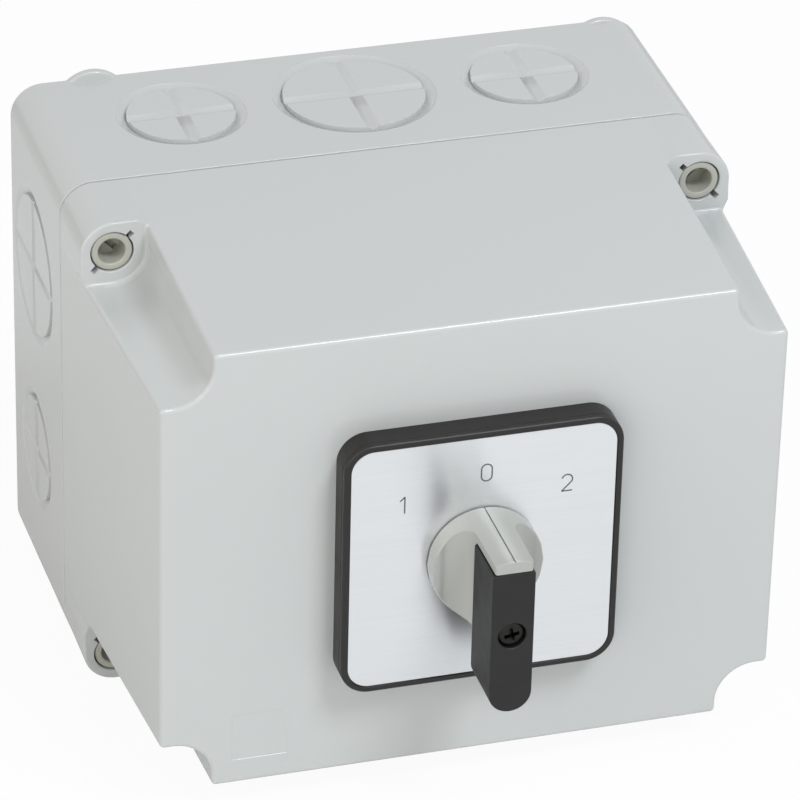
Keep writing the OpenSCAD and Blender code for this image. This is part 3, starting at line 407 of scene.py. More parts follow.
# Acetal: waxy, slightly translucent looking white and natural
wheelAcetal = mouldedPlastic("moulded white acetal", ("#dadad6", "#e4e4e0"), (0.28, 0.36), 12, 0.8, 2)
camAcetal = mouldedPlastic("moulded natural acetal", ("#d9d1b8", "#e4ddc6"), (0.28, 0.38), 12, 0.8, 2)
carrierNylon = mouldedPlastic("moulded dark grey nylon", ("#44474b", "#4f5257"), (0.38, 0.5), 8, 0.4, 4)
# Printed ink: flat dark grey that lets the brushing show at its edge
printInk = mouldedPlastic("screen printed ink", ("#56595c", "#5f6265"), (0.45, 0.6), 3, 0.2, 3)
# Brushed and clear anodised aluminium: fine lines from side to side, light drawn out up and down.
# The real lines are about 0.05 mm apart; they are drawn 0.2 mm apart so that they show.
legendAluminium = workedMetal(
    "brushed anodised aluminium", ("#dfe1e3", "#e4e6e7"), (0.28, 0.31), (34, 34, 0.2), 0.02, 0.9, True)
# Bright zinc plate on turned or pressed steel
zincSteel = workedMetal("zinc plated steel", ("#b4b8bb", "#cdd1d4"), (0.22, 0.36), (0.6, 0.6, 0.6), 1.5)
# Blackened screw steel: dark grey under its oil, with a low shine
blackSteel = workedMetal("blackened steel", ("#2b2b2a", "#3b3b39"), (0.3, 0.45), (0.5, 0.5, 0.5), 1.5)
# Drawn square steel with marks along its length
shaftSteel = workedMetal("drawn steel", ("#a4a8ab", "#bdc1c4"), (0.25, 0.4), (0.3, 12, 0.3), 1.2)
springSteel = workedMetal("spring steel wire", ("#8b8f93", "#a9adb1"), (0.2, 0.34), (0.25, 0.25, 2), 1.0)
# Stamped copper with a drift to brown where the air has reached it
contactCopper = workedMetal("stamped copper", ("#b06d42", "#cf9063"), (0.26, 0.44), (2.5, 2.5, 2.5), 1.5)
# Sawn brass bar
earthBrass = workedMetal("sawn brass", ("#bd9a49", "#d6b868"), (0.28, 0.42), (5, 0.3, 5), 2.0)
print("materials are made")


# ---- base of the box

box = {
    "cornerRadius": 8.5,
    "cornerReach": 18.0,       # the corner's mesh begins this far from it
    "wall": 3.2,
    "draftDeg": 0.45,
    "rimWidth": 6.4,
    "rimThick": 5.0,
    "rimColumn": 13.0,
    "column": 9.2,
    "screwInset": 8.65,
    "floorEdge": 1.0,
    "biteEdge": 1.0,           # rounding where a column meets the wall, inside
    "wallEdge": 1.2,           # rounding at the wall
    "seamEdge": 0.3,           # rounding at the seam
    "seamDrop": 0.15,          # the seam is drawn this much wider on both sides, so that it shows
    "grooveInset": 3.0,
    "grooveColumn": 9.4,
    "grooveWidth": 2.0,
    "grooveDeep": 2.0,
    "lobeRadius": 9.5,
    "lobeThick": 2.2,
    "lobeEdge": 0.6,
    "lobeFoot": 0.4,
    "lobes": ((-63.5, 2.3), (74.5, 0.8)),     # place along the box and height above it
    "fixHole": 2.75,
    "fixSeat": 8.0,
    "shank": 4.5,
    "lugRoom": 6.9,
    "lugRoomTop": 4.0,         # below the seam
    "lugRoomLength": 8.0,
}

baseLow, baseHigh = fromFrame("base_box")
coverLow, coverHigh = fromFrame("front_cover")
baseTop, coverFoot = baseHigh[2] - box["seamDrop"], coverLow[2] + box["seamDrop"]
coverFront, seam = coverHigh[2], (baseTop + coverFoot) / 2
baseLean = math.tan(math.radians(box["draftDeg"]))
boxW = baseHigh[0] - baseLow[0]
boxH = boxW - (coverHigh[0] - coverLow[0]) + (coverHigh[1] - coverLow[1])
screwX, screwY = boxW / 2 - box["screwInset"], boxH / 2 - box["screwInset"]
corners = {"tl": (-1, 1), "tr": (1, 1), "bl": (-1, -1), "br": (1, -1)}


def baseSize(z):
    return boxW - 2 * z * baseLean, boxH - 2 * z * baseLean


def baseRounded(z, inset):
    w, h = baseSize(z)
    r, reach = box["cornerRadius"] - inset, box["cornerReach"] - inset
    return atHeight(roundedOutline(w - 2 * inset, h - 2 * inset, r, reach), z)


def baseBitten(z, inset, column):
    w, h = baseSize(z)
    toAxis = w / 2 - inset - screwX
    return atHeight(bittenOutline(w - 2 * inset, h - 2 * inset, toAxis, column, box["biteEdge"]), z)


e, rings = box["wallEdge"], []
for inset, lift in quarter(5)[::-1]:
    rings.append(baseRounded(e * lift, e * inset))
for z in np.linspace(e, baseTop - box["seamEdge"], 5)[1:]:
    rings.append(baseRounded(z, 0))
e = box["seamEdge"]
for inset, lift in quarter(4)[1:]:
    rings.append(baseRounded(baseTop - e * lift, e * inset))
# over the gasket's groove and the rim, then down the inside to the floor
groove, width, column = box["grooveInset"], box["grooveWidth"], box["grooveColumn"]
grooveZ, rimZ = baseTop - box["grooveDeep"], baseTop - box["rimThick"]
wall, e = box["wall"], box["floorEdge"]
rings += [baseBitten(*place) for place in (
    (baseTop, groove, column), (grooveZ, groove, column),
    (grooveZ, groove + width, column + width), (baseTop, groove + width, column + width),
    (baseTop, box["rimWidth"], box["rimColumn"]), (rimZ, box["rimWidth"], box["rimColumn"]),
    (rimZ, wall, box["column"]), (wall + e, wall, box["column"]), (wall, wall + e, box["column"] + e))]
base = newObject("baseShell", loft(rings))

lobes = []
for x, rise in box["lobes"]:
    for side in (-1, 1):
        r, t, e, foot = (box["lobe" + part] for part in ("Radius", "Thick", "Edge", "Foot"))
        profile = [(0, 0), (r - foot, 0), (r, foot)]
        profile += [(r - e * i, t - e * l) for i, l in quarter(5)] + [(0, t)]
        lobes.append(moved(lathe(profile), x, side * (boxH / 2 + rise - r)))
carve(base, [joined(lobes)], "UNION")

knockouts = {
    "smallSeat": 16.75,        # radii of the seats
    "largeSeat": 21.2,
    "band": 2.7,               # from the seat's edge in to the disc
    "step": 0.4,               # depth at which the seat begins
    "coneDepth": 1.3,          # depth to which it slopes
    "coneFoot": 0.2,
    "groove": 0.16,            # width of the weak line round the disc
    "grooveDepth": 1.6,
    "soft": 0.25,
    "crossWidth": 3.8,
    "crossFloor": 0.6,
    "crossDepth": 0.9,
    "crossPast": 0.3,          # the cross runs this far past the disc
    "air": 2.0,                # the cutters stand this much above the wall
    "height": 25.0,
    "pitch": 45.8,
    "sideLarge": 28.0,
    "sideSmall": -26.7,
    "sideRise": 0.4,           # the seats left and right are this much shallower
}


def seatCutter(ring):
    # closed section of the seat: groove floor, cone, air above the wall, disc edge
    k = knockouts
    disc, s = ring - k["band"], k["soft"]
    section = [
        (disc, -k["grooveDepth"]), (disc + k["groove"], -k["grooveDepth"]),
        (disc + k["groove"], -k["coneDepth"] - s),
        (disc + k["groove"] + k["coneFoot"], -k["coneDepth"]),
        (ring - s, -k["step"]), (ring - 0.2 * s, -0.6 * k["step"]), (ring + 0.4 * s, -0.2 * k["step"]),
        (ring + s, 0.01), (ring + s, k["air"]),
        (disc - s, k["air"]), (disc - s, 0.01), (disc - 0.4 * s, -0.06), (disc, -s)]
    return lathe(section, 96, True)


def crossCutter(ring, turn):
    k = knockouts
    half, floor, deep = k["crossWidth"] / 2, k["crossFloor"] / 2, k["crossDepth"]
    side = [(floor, -deep), (half - 0.15, -0.04), (half + 0.1, 0.01), (half + 0.1, k["air"])]
    section = side + [(-y, z) for y, z in side[::-1]]
    return turned(bar(section, ring - k["band"] + k["crossPast"]), "Z", turn)


def onSides(makeShape):
    # the shapes lie at z = 0 of their own; each is turned to face out of its side
    k = knockouts
    z = k["height"]
    w, h = baseSize(z)
    w += 2 * k["sideRise"]
    tilt = box["draftDeg"]
    shapes = []
    for x, ring in ((0, k["largeSeat"]), (-k["pitch"], k["smallSeat"]), (k["pitch"], k["smallSeat"])):
        shapes.append(moved(turned(makeShape(ring), "X", -90 + tilt), x, h / 2, z))
        shapes.append(moved(turned(makeShape(ring), "X", 90 - tilt), x, -h / 2, z))
    for y, ring in ((k["sideLarge"], k["largeSeat"]), (k["sideSmall"], k["smallSeat"])):
        shapes.append(moved(turned(makeShape(ring), "Y", 90 - tilt), w / 2, y, z))
        shapes.append(moved(turned(makeShape(ring), "Y", -90 + tilt), -w / 2, y, z))
    return joined(shapes)


carve(base, [onSides(seatCutter),
             onSides(lambda ring: crossCutter(ring, 0)),
             onSides(lambda ring: crossCutter(ring, 90))])

bores = []
for sx, sy in corners.values():
    top = baseTop - box["lugRoomTop"]
    profile = [
        (0, -1), (box["fixHole"], -1), (box["fixHole"], box["fixSeat"]), (box["shank"], box["fixSeat"]),
        (box["shank"], top - box["lugRoomLength"]), (box["lugRoom"], top - box["lugRoomLength"]),
        (box["lugRoom"], top), (box["shank"], top), (box["shank"], baseTop + 1), (0, baseTop + 1)]
    bores.append(moved(lathe(profile, 48), sx * screwX, sy * screwY))
carve(base, [joined(bores)])
finishPiece(base, "enclosure", boxAbs, ["base_box"])
print("base:", len(base.data.polygons), "faces")


# ---- cover

cover = {
    "draftDeg": 3.6,
    "frontWall": 3.4,
    "padHeight": 77.0,
    "padEdge": 0.6,            # rounding of the pad's outer edge
    "foot": 0.8,               # hollow rounding between pad and channel
    "channelRadius": 10.2,     # round the screw axis, at the front face
    "channelDraftDeg": 1.4,
    "channelEdge": 1.2,        # rounding between channel and side
    "roomRadius": 9.1,         # the driver's room round each screw
    "columnIn": 0.1,           # the upright column under a pad, inside the seam's outline
    "columnRun": 2.8,          # over which it runs back into the leaning walls
    "roomFoot": 1.7,
    "frontEdge": 1.1,          # rounding of the front face
    "screwBore": 5.5,
    "screwBoreDepth": 10.3,
    "lugSlot": 1.5,
    "lugReach": 7.2,
    "fieldMiddle": (-54.1, -48.3),
    "fieldSize": (14.0, 13.2),
    "fieldDepth": 0.08,        # the bare field low on the left of the front
    "curveTop": 108.0,         # the mesh is finer up to this height
}

coverLean = math.tan(math.radians(cover["draftDeg"]))
channelLean = math.tan(math.radians(cover["channelDraftDeg"]))
pad, edge = cover["padHeight"], cover["frontEdge"]


def coverSize(z):
    w, h = baseSize(seam)
    return w - 2 * (z - seam) * coverLean, h - 2 * (z - seam) * coverLean


def channelAt(z):
    return cover["channelRadius"] - (coverFront - z) * channelLean


def coverRounded(z, inset=0.0):
    # the leaning wall, and round each corner the upright column under the pad: along a side the
    # column comes out of the wall over columnRun, in a smooth step
    w, h = coverSize(z)
    side, r = channelAt(pad) - cover["foot"] + cover["channelEdge"], box["cornerRadius"]
    lean = roundedOutline(w - 2 * inset, h - 2 * inset, r - inset, h / 2 - screwY + side - inset)
    w0, h0 = coverSize(seam)
    inset0 = cover["columnIn"] + inset
    column = roundedOutline(w0 - 2 * inset0, h0 - 2 * inset0, r - inset, h0 / 2 - screwY + side - inset0)
    run = np.abs(np.abs(lean) - (screwX - side, screwY - side)).min(1)
    part = np.clip(run / cover["columnRun"], 0, 1)[:, None]
    return lean + (column - lean) * part * part * (3 - 2 * part) * (np.abs(column) > np.abs(lean))


def coverInside(z, inset, r):
    w, h = coverSize(z)
    toAxis = w / 2 - inset - screwX
    return atHeight(bittenOutline(w - 2 * inset, h - 2 * inset, toAxis, r, box["biteEdge"]), z)


def hollow(rise, radius):
    # how far a quarter-round hollow of this radius still reaches in at this height
    c = np.clip(1 - rise / radius, 0, 1)
    return radius * (1 - math.sqrt(1 - c * c))


def coverChannel(z, inset=0.0):
    w, h = coverSize(z)
    r = channelAt(z) - hollow(z - pad, cover["foot"]) + inset
    room = cover["roomRadius"] - hollow(z - pad, cover["roomFoot"])
    return atHeight(channelOutline(w - 2 * inset, h - 2 * inset, (screwX, screwY), r,
                                   cover["channelEdge"] - inset, room), z)


rings = []
for z in np.linspace(coverFront - cover["frontWall"], pad - wall, 4):
    rings.append(coverInside(z, wall, channelAt(z) + wall))
rimZ = coverFoot + box["rimThick"]
rings += [coverInside(*place) for place in (
    (pad - wall, wall, box["column"]), (rimZ, wall, box["column"]),
    (rimZ, box["rimWidth"], box["rimColumn"]), (coverFoot, box["rimWidth"], box["rimColumn"]))]

e = box["seamEdge"]
for inset, lift in quarter(4)[::-1]:
    rings.append(atHeight(coverRounded(coverFoot, e * inset), coverFoot + e * lift))
for z in np.linspace(coverFoot + e, pad - cover["padEdge"] * 2, 5)[1:]:
    rings.append(atHeight(coverRounded(z), z))

# the pad's outer edge is rounded, and the rounding fades out where the edge meets the channel
count = midSteps + 2 * edgeSteps
fade = np.clip(np.minimum(np.arange(count), np.arange(count)[::-1]) / (edgeSteps - 1), 0, 1)
fade = np.tile(fade * fade * (3 - 2 * fade), 4)
plain, shrunk = coverRounded(pad), coverRounded(pad, cover["padEdge"])
for inset, lift in quarter(5):
    flat = plain + (shrunk - plain) * (fade * inset)[:, None]
    rings.append(atHeight(flat, pad - cover["padEdge"] * lift * fade - 0.001 * (1 - fade) * lift))

deep = cover["roomFoot"]
for a in np.linspace(0, math.pi / 2, 12):
    rings.append(coverChannel(pad + deep * (1 - math.cos(a))))
for low, high, steps in ((pad + deep, cover["curveTop"], 26), (cover["curveTop"], coverFront - edge, 5)):
    rings += [coverChannel(z) for z in np.linspace(low, high, steps)[1:]]
for inset, lift in quarter(6)[1:]:
    rings.append(coverChannel(coverFront - edge * lift, edge * inset))
coverPiece = newObject("coverShell", loft(rings))

bores, slots = [], []
for sx, sy in corners.values():
    r = cover["screwBore"]
    low = pad - cover["screwBoreDepth"]
    profile = [(0, coverFoot - 1), (box["shank"], coverFoot - 1), (box["shank"], low), (r, low)]
    # the bore widens a little at the pad, as a small rounding
    profile += [(r, pad - 0.3), (r + 0.05, pad - 0.12), (r + 0.15, pad - 0.03), (r + 0.25, pad + 0.01)]
    profile += [(r + 0.25, pad + 1), (0, pad + 1)]
    bores.append(moved(lathe(profile, 72), sx * screwX, sy * screwY))
    half, reach = cover["lugSlot"] / 2, cover["lugReach"]
    slot = turned(brick((-reach, -half, coverFoot - 1), (reach, half, pad + 1)), "Z", -45 * sx * sy)
    slots.append(moved(slot, sx * screwX, sy * screwY))
fx, fy = cover["fieldMiddle"]
fw, fh = cover["fieldSize"]
depth = cover["fieldDepth"]
field = brick((fx - fw / 2, fy - fh / 2, coverFront - depth),
              (fx + fw / 2, fy + fh / 2, coverFront + depth), 2 * depth)
carve(coverPiece, [joined(bores), joined(slots), field])
finishPiece(coverPiece, "enclosure", boxAbs, ["front_cover"])
print("cover:", len(coverPiece.data.polygons), "faces")


# ---- cover screws

screw = {
    "head": 5.2,
    "headFoot": 67.0,
    "recess": 3.45,
    "recessDepth": 6.0,
    "slot": 1.6,
    "slotDepth": 2.0,
    "shank": 4.2,
    "lugReach": 6.6,
    "lugWidth": 1.2,
    "lugLength": 3.0,
    "lugLift": 1.2,            # from the tip up to the lugs
    "tipEdge": 0.6,
    "edge": 0.45,
}

for name, (sx, sy) in corners.items():
    low, high = fromFrame("cover_screw_" + name)
    top, tip, e = high[2], low[2], screw["edge"]
    r, inner = screw["head"], screw["recess"]
    shank, chamfer = screw["shank"], screw["tipEdge"]
    profile = [(0, tip), (shank - chamfer, tip), (shank, tip + chamfer)]
    profile += [(shank, screw["headFoot"]), (r, screw["headFoot"])]
    profile += [(r - e * i, top - e * l) for i, l in quarter(5)]
    profile += [(inner + e * l, top - e * i) for i, l in quarter(5)]
    floor = top - screw["recessDepth"]
    profile += [(inner, floor), (0, floor)]
    piece = newObject("coverScrew_" + name, moved(lathe(profile, 72), sx * screwX, sy * screwY))
    slot = brick((-inner + 0.1, -screw["slot"] / 2, floor - screw["slotDepth"]),
                 (inner - 0.1, screw["slot"] / 2, floor + 1))
    lugZ = tip + screw["lugLift"]
    lugs = brick((-screw["lugReach"], -screw["lugWidth"] / 2, lugZ),
                 (screw["lugReach"], screw["lugWidth"] / 2, lugZ + screw["lugLength"]))
    carve(piece, [moved(turned(lugs, "Z", 45 * sx * sy), sx * screwX, sy * screwY)], "UNION")
    carve(piece, [moved(turned(slot, "Z", 45 * sx * sy), sx * screwX, sy * screwY)])
    finishPiece(piece, "screw_" + name, screwNylon, ["cover_screw_" + name])
print("cover screws are made")


# ---- plate frame and legend

plate = {
    "frameRadius": 7.5,
    "frameEdge": 0.6,          # rounding at the front
    "frameLine": 1.9,          # the fine line round the frame, below its front
    "lineDepth": 0.15,
    "lineReach": (0.12, 0.2),  # half its width at the bottom and at the surface
    "upperIn": 0.06,           # the frame is this much narrower in front of the line
    "cornerReach": 12.0,
    "legendSide": 67.4,
    "legendRadius": 5.75,
    "legendGap": 0.2,          # both sides together
    "legendMap": 0.07,         # metres that the brushing's map spans
    "hole": 6.3,
}

frameLow, frameHigh = fromFrame("plate_frame")
legendLow, legendHigh = fromFrame("legend_plate")
side, r, e = frameHigh[0] - frameLow[0], plate["frameRadius"], plate["frameEdge"]


def squareRing(width, radius, z):
    return atHeight(roundedOutline(width, width, radius, plate["cornerReach"]), z)


back, front = frameLow[2], frameHigh[2]
seat = plate["legendSide"] + plate["legendGap"]
line = front - plate["frameLine"]
deep, (narrow, wide) = plate["lineDepth"], plate["lineReach"]
upper = side - plate["upperIn"]
rings = [squareRing(side, r, back), squareRing(side, r, line - wide),
         squareRing(side - 2 * deep, r - deep, line - narrow),
         squareRing(side - 2 * deep, r - deep, line + narrow), squareRing(upper, r, line + wide)]
rings += [squareRing(upper - 2 * e * i, r - e * i, front - e * l) for i, l in quarter(6)]
# a small bevel leads down to the legend's seat
rings += [squareRing(seat + 0.3, plate["legendRadius"] + 0.2, front),
          squareRing(seat, plate["legendRadius"] + 0.1, front - 0.12),
          squareRing(seat, plate["legendRadius"] + 0.1, legendLow[2])]
hole = circleOutline(plate["hole"], rings[-1][:, :2])
rings += [atHeight(hole, legendLow[2]), atHeight(hole, back)]
framePiece = newObject("plateFrame", loft(rings, wrap=True))
finishPiece(framePiece, "enclosure", frameNylon, ["plate_frame"])

w, r, back, front = plate["legendSide"], plate["legendRadius"], legendLow[2], legendHigh[2]
# the sheet's edge is slightly rounded
rings = [squareRing(w, r, back), squareRing(w, r, front - 0.12), squareRing(w - 0.08, r, front - 0.03),
         squareRing(w - 0.24, r - 0.1, front)]
hole = circleOutline(plate["hole"], rings[-1][:, :2])
rings += [atHeight(hole, front), atHeight(hole, back)]
legend = newObject("legendPlate", loft(rings, wrap=True))
uv = legend.data.uv_layers.new(name="UVMap")
places = np.zeros(len(legend.data.vertices) * 3)
legend.data.vertices.foreach_get("co", places)
which = np.zeros(len(legend.data.loops), np.int32)
legend.data.loops.foreach_get("vertex_index", which)
uv.data.foreach_set("uv", (places.reshape(-1, 3)[which][:, [2, 0]] / plate["legendMap"]).ravel())
finishPiece(legend, "enclosure", legendAluminium, ["legend_plate"])

marks = {
    "height": 4.7,
    "width": 2.7,
    "stem": 0.3,               # the 1: its stem stands right of the middle, its flag starts on the left
    "flag": (-0.9, 1.2),       # and this far below the top
    "hookDeg": (165, -30),     # the 2: its hook runs between these two directions
    "stroke": 0.36,
    "thick": 0.03,
    "places": {"1": (-20.4, 17.6), "0": (0.5, 23.8), "2": (21.2, 17.8)},
}


def ribbon(path, width, z, thick, closed=False):
    # a flat stroke: the path moved sideways by half its width, given a thickness
    path = np.asarray(path, float)
    if closed:
        along = np.roll(path, -1, 0) - np.roll(path, 1, 0)
    else:
        along = np.gradient(path, axis=0)
    along /= np.linalg.norm(along, axis=1)[:, None]
    across = np.stack([-along[:, 1], along[:, 0]], 1) * width / 2
    left, right = path + across, path - across
    rings = np.stack([atHeight(left, z), atHeight(left, z + thick),
                      atHeight(right, z + thick), atHeight(right, z)], 1)
    return loft(rings, wrap=closed)


def arcPath(cx, cy, rx, ry, fromDeg, toDeg, n=24):
    a = np.radians(np.linspace(fromDeg, toDeg, n))
    return np.stack([cx + rx * np.cos(a), cy + ry * np.sin(a)], 1)


h, w, stroke = marks["height"], marks["width"], marks["stroke"]
z, t = legendHigh[2], marks["thick"]
zero = [arcPath(0, h / 2 - w / 2, w / 2, w / 2, 0, 180), arcPath(0, w / 2 - h / 2, w / 2, w / 2, 180, 360)]
stemX, (flagX, drop) = marks["stem"], marks["flag"]
stem = np.array([[stemX, h / 2 - i * h / 8] for i in range(9)])
flag = np.stack([np.linspace(flagX, stemX, 6), np.linspace(h / 2 - drop, h / 2 - 0.05, 6)], 1)
hook = arcPath(0, h / 2 - w / 2, w / 2, w / 2, *marks["hookDeg"], 30)
tail = np.stack([np.linspace(hook[-1][0], -w / 2, 10), np.linspace(hook[-1][1], -h / 2 + 0.1, 10)], 1)[1:]
foot = np.stack([np.linspace(-w / 2, w / 2, 6), np.full(6, -h / 2 + 0.1)], 1)
glyphs = {
    "0": [ribbon(np.concatenate(zero), stroke, z, t, True)],
    "1": [ribbon(stem, stroke, z, t), ribbon(flag, stroke, z, t)],
    "2": [ribbon(np.concatenate([hook, tail]), stroke, z, t), ribbon(foot, stroke, z, t)],
}
numbers = newObject("legendNumbers", joined(
    [moved(shape, *marks["places"][key]) for key, shapes in glyphs.items() for shape in shapes]))
finishPiece(numbers, "enclosure", printInk)
print("plate frame and legend are made")


# ---- knob hub

hub = {
    "ridge": 9.5,              # width at the top
    "rimHeight": 4.7,
    "scoopRadius": 6.2,
    "rimWidth": 2.6,           # from the outer wall to the scoop, level with the lever
    "ridgeEdge": 0.7,
    "ridgeLean": 0.1,          # the ridge is this much wider at its foot, on each side
    "rimEdge": 0.35,           # rounding where the scoops and the ridge meet the outer wall
    "floor": 10.0,             # under the lever
    "leverTop": 11.0,
    "lip": (0.25, 0.08),       # bevel from a scoop to the rim, across and up
    "grooveWidth": 0.45,
    "grooveDepth": 0.45,
}

hubLow, hubHigh = fromFrame("knob_hub")
hubR, hubZ0, hubZ1 = (hubHigh[0] - hubLow[0]) / 2, hubLow[2], hubHigh[2]
half, e, s = hub["ridge"] / 2, hub["ridgeEdge"], hub["scoopRadius"]
footZ = hubZ0 + hub["rimHeight"]
top = [(x, hubZ1) for x in np.linspace(0, half - e, 6)]
top += [(half - e * i, hubZ1 - e * l) for i, l in quarter(5)[::-1]][1:]
wallDown = [(half + hub["ridgeLean"] * k / 5, z)
            for k, z in enumerate(np.linspace(hubZ1 - e, footZ + s, 6))][1:]
half += hub["ridgeLean"]
# a scoop's arc runs from the ridge's foot down, and a little up again to the rim
climb = math.asin((hubR - hub["rimWidth"] - half - s) / s)
low = footZ - s * (1 - math.cos(climb))
turn = np.linspace(math.pi, 1.5 * math.pi + climb, 30)[1:]
scoop = [(half + s + s * math.cos(a), low + s + s * math.sin(a)) for a in turn]
topR = hubR - hub["rimEdge"]
across, up = hub["lip"]
rim = [(x, footZ + up) for x in np.linspace(scoop[-1][0] + across, topR, 4)]
halfProfile = np.array(top + wallDown + scoop + rim)
profile = np.concatenate([halfProfile[::-1] * (-1, 1), halfProfile[1:]])
# each point of the profile is carried across the disc, up to the circle that bounds it
reach = np.sqrt(np.maximum(topR ** 2 - profile[:, 0] ** 2, 0))
across = np.sin(np.linspace(-math.pi / 2, math.pi / 2, 41))
x, z = profile[:, 0, None] + 0 * across, profile[:, 1, None] + 0 * across
grid = np.stack([x, reach[:, None] * across, z], -1)
rimRing = np.concatenate([grid[:, 0], grid[:, -1][::-1]])
n = len(across)
k, m = np.meshgrid(np.arange(len(profile) - 1), np.arange(n - 1), indexing="ij")
quads = np.stack([k * n + m, (k + 1) * n + m, (k + 1) * n + m + 1, k * n + m + 1], -1).reshape(-1, 4)
grow, e = hubR / topR, hub["rimEdge"]
rings = [rimRing * (grow, grow, 0) + (0, 0, hubZ0)]
for inset, lift in quarter(5):
    grow = (hubR - e * inset) / topR
    rings.append(rimRing * (grow, grow, 1) - (0, 0, e * lift))
points, faces = loft(rings)
# the skirt's upper end stays open, where the grid closes it
hubPiece = newObject("knobHub", joined([(grid.reshape(-1, 3), quads.tolist()), (points, faces[:-1])]))
# the lever's pocket is open downwards and to both scoops
pocket = brick((-20, -40, hubZ0 + hub["floor"]), (20, hub["leverTop"], hubZ1 + 2))
sight = brick((-hub["grooveWidth"] / 2, hubR - hub["grooveDepth"], hubZ0 - 1),
              (hub["grooveWidth"] / 2, hubR + 1, hubZ1 + 1))
carve(hubPiece, [pocket, sight])
finishPiece(hubPiece, "rotor", hubNylon, ["knob_hub"])
print("hub:", len(hubPiece.data.polygons), "faces")


# ---- lever and its screw

lever = {
    "edge": 0.2,
    "topCorner": 0.5,
    "screwBelow": 7.1,
    "bore": 3.58,
    "boreDepth": 2.6,
    "boreEdge": 0.2,
}

leverLow, leverHigh = fromFrame("lever_handle")
halfW = (leverHigh[0] - leverLow[0]) / 2


def leverOutline(inset):
    # a straight top with small corners, straight sides and a half circle below
    r = lever["topCorner"]
    turn = np.linspace(0, math.pi / 2, 5)
    right = halfW - inset
    topY = leverHigh[1] - inset
    corner = np.stack([right - r + r * np.cos(turn), topY - r + r * np.sin(turn)], 1)
    low = leverLow[1] + halfW
    under = np.linspace(-math.pi, 0, 33)
    bowl = np.stack([right * np.cos(under), low + right * np.sin(under)], 1)
    sides = np.linspace(low, topY - r, 8)[1:-1]
    rightSide = np.stack([np.full(6, right), sides], 1)
    leftSide = np.stack([np.full(6, -right), sides[::-1]], 1)
    return np.concatenate([corner, corner[::-1] * (-1, 1), leftSide, bowl, rightSide])


e = lever["edge"]
rings = [atHeight(leverOutline(e * i), leverLow[2] + e * l) for i, l in quarter(4)[::-1]]
rings += [atHeight(leverOutline(0), z) for z in np.linspace(leverLow[2] + e, leverHigh[2] - e, 5)[1:-1]]
rings += [atHeight(leverOutline(e * i), leverHigh[2] - e * l) for i, l in quarter(5)]
leverPiece = newObject("leverGrip", loft(rings))
r, z, e = lever["bore"], leverHigh[2], lever["boreEdge"]
profile = [(0, z - lever["boreDepth"]), (r, z - lever["boreDepth"]), (r, z - e), (r + e, z + 0.01),
           (r + e, z + 1), (0, z + 1)]
carve(leverPiece, [moved(lathe(profile, 64), 0, -lever["screwBelow"])])
finishPiece(leverPiece, "rotor", leverNylon, ["lever_handle"])

leverScrew = {
    "head": 3.4,
    "headThick": 2.2,
    "dome": 0.85,              # height of the head's rounded edge
    "domeFrom": 0.25,          # radians
    "shank": 1.5,
    "cross": 4.3,
    "arm": 1.15,
    "crossFoot": (0.45, 0.5),  # length and width at the bottom, as a share of those on top
    "crossDepth": 1.9,
    "crossTurnDeg": 12,
}
low, high = fromFrame("handle_screw")
r, z, dome, shank = leverScrew["head"], high[2], leverScrew["dome"], leverScrew["shank"]
headZ = z - leverScrew["headThick"]
profile = [(0, low[2]), (shank, low[2]), (shank, headZ), (r, headZ), (r, z - dome)]
profile += [(r * math.cos(a), z - dome + dome * math.sin(a))
            for a in np.linspace(leverScrew["domeFrom"], math.pi / 2, 9)]
piece = newObject("leverScrew", moved(lathe(profile, 64), 0, -lever["screwBelow"]))
long, arm, foot = leverScrew["cross"] / 2, leverScrew["arm"] / 2, leverScrew["crossFoot"]
cross = []
for x, y, height in ((long * foot[0], arm * foot[1], z - leverScrew["crossDepth"]), (long, arm, z + 0.2)):
    cross.append([[-x, -y, height], [x, -y, height], [x, y, height], [-x, y, height]])
for turnDeg in (0, 90):
    cut = turned(loft(cross), "Z", turnDeg + leverScrew["crossTurnDeg"])
    carve(piece, [moved(cut, 0, -lever["screwBelow"])])
finishPiece(piece, "rotor", blackSteel, ["handle_screw"])
print("lever is made")


# ---- contact springs

spring = {"wire": 0.8, "diameter": 7.0, "turns": 4, "perTurn": 28, "sides": 10}

for name in [n for n in frame["nodes"] if n.startswith("contact_spring_")]:
    low, high = fromFrame(name)
    sign = 1 if low[0] > 0 else -1
    wire, coil = spring["wire"] / 2, (spring["diameter"] - spring["wire"]) / 2
    start, end = (low[0], high[0]) if sign > 0 else (-high[0], -low[0])
    t = np.linspace(0, 1, spring["turns"] * spring["perTurn"] + 1)
    a = 2 * math.pi * spring["turns"] * t
    rise = end - start - 2 * wire
    middle = np.stack([start + wire + rise * t, coil * np.cos(a), coil * np.sin(a)], 1)
    outwards = np.stack([0 * a, np.cos(a), np.sin(a)], 1)
    heading = np.gradient(middle, axis=0)
    heading /= np.linalg.norm(heading, axis=1)[:, None]
    sideways = np.cross(heading, outwards)
    b = np.linspace(0, 2 * math.pi, spring["sides"], endpoint=False)
    cosB, sinB = np.cos(b)[:, None], np.sin(b)[:, None]
    rings = middle[:, None] + wire * (outwards[:, None] * cosB + sideways[:, None] * sinB)
    height = (low[2] + high[2]) / 2
    piece = newObject("springCoil" + name[-3:], loft(rings * (sign, 1, 1) + (0, 0, height)))
    finishPiece(piece, None, springSteel, [name], 80)
    # the places of the inner and the outer end along x, which nothing uses further
    inner, outer = (low[0], high[0]) if sign > 0 else (high[0], low[0])
    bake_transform(piece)
print("springs are made")


# ---- finishes of the pieces that keep their shape

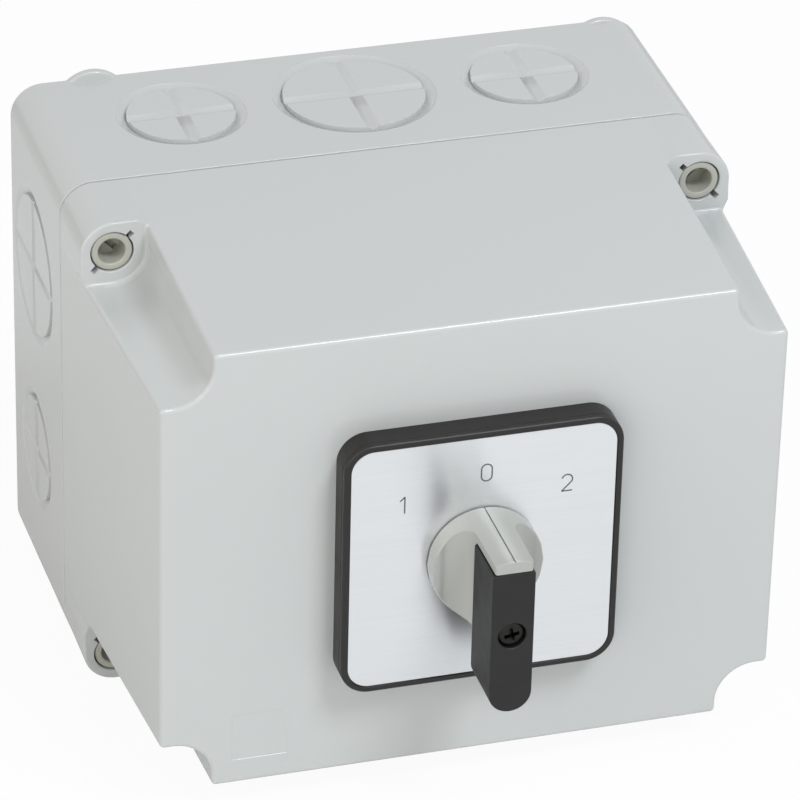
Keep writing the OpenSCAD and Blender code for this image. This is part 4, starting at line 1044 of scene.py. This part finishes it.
slotFinish = {
    "seal_rubber": sealRubber, "zinc_steel": zincSteel, "shaft_steel": shaftSteel,
    "latch_nylon": latchNylon, "wheel_acetal": wheelAcetal, "spring_steel": springSteel,
    "stage_polyester": stagePolyester, "cam_acetal": camAcetal, "carrier_nylon": carrierNylon,
    "contact_copper": contactCopper, "earth_brass": earthBrass,
}
slotOf = {part["node"]: part["material_slot"] for part in frame["record"]["subparts"]}
for name, node in frame["nodes"].items():
    if slotOf[name] in slotFinish:
        node.data.materials.clear()
        node.data.materials.append(slotFinish[slotOf[name]])
print("finishes are set")


# ---- floor, room and lamps

room = {
    "floorReach": 3.0,         # metres
    "floorGap": 0.0002,        # between the object's lowest point and the floor
    "floorColour": "#f4f4f4",
    "floorGlow": 0.94,         # share of plain white that the camera sees on the floor
    "worldColour": "#ffffff",
    "worldLight": 0.47,        # strength of the room's light on the object
    "lampAim": (0, -0.08, 0),
}
lamps = {
    # name: place in metres, size in metres, watts, colour
    "softboxAbove": ((0.38, -0.85, 1.2), 0.45, 10, "#f5faff"),
    "screenLeft": ((-1.25, -1.05, 0.35), 2.2, 15.5, "#fffaf4"),
}


def whiteRays(tree):
    # 1 for the rays that see the background: from the camera, off a gloss or through glass
    rays = addNode(tree, "ShaderNodeLightPath").outputs
    shown = rays["Is Camera Ray"]
    for other in ("Is Glossy Ray", "Is Transmission Ray"):
        shown = addNode(tree, "ShaderNodeMath", {0: shown, 1: rays[other]}, operation="MAXIMUM").outputs[0]
    return shown


floorMesh = bpy.data.meshes.new("floor")
far, z = room["floorReach"], cadBox[0][2] - room["floorGap"]
floorMesh.from_pydata([(-far, -far, z), (far, -far, z), (far, far, z), (-far, far, z)], [], [(0, 1, 2, 3)])
floor = bpy.data.objects.new("floor", floorMesh)
scene.collection.objects.link(floor)

material, tree, shader = newMaterial("pale studio floor")
shader.inputs["Base Color"].default_value = linear(room["floorColour"])
shader.inputs["Roughness"].default_value = 0.9
rays = addNode(tree, "ShaderNodeLightPath")
seen = addNode(tree, "ShaderNodeMath", {
    0: rays.outputs["Is Camera Ray"], 1: room["floorGlow"]}, operation="MULTIPLY")
glow = addNode(tree, "ShaderNodeEmission", {"Color": linear("#ffffff"), "Strength": 1.0})
mix = addNode(tree, "ShaderNodeMixShader", {0: seen.outputs[0], 1: shader.outputs[0], 2: glow.outputs[0]})
tree.links.new(mix.outputs[0], tree.nodes["Material Output"].inputs["Surface"])
floorMesh.materials.append(material)

world = bpy.data.worlds.new("studio")
world.use_nodes = True
scene.world = world
tree = world.node_tree
tree.nodes.clear()
strength = addNode(tree, "ShaderNodeMapRange", {
    "Value": whiteRays(tree), "To Min": room["worldLight"], "To Max": 1.0})
air = addNode(tree, "ShaderNodeBackground", {
    "Color": linear(room["worldColour"]), "Strength": strength.outputs[0]})
addNode(tree, "ShaderNodeOutputWorld", {"Surface": air.outputs[0]})

for name, (place, size, watts, colour) in lamps.items():
    data = bpy.data.lights.new(name, "AREA")
    data.shape, data.size, data.energy, data.color = "SQUARE", size, watts, linear(colour)[:3]
    lamp = bpy.data.objects.new(name, data)
    lamp.location = place
    toBox = Vector(room["lampAim"]) - Vector(place)
    lamp.rotation_euler = toBox.to_track_quat("-Z", "Y").to_euler()
    scene.collection.objects.link(lamp)
print("stage is set")
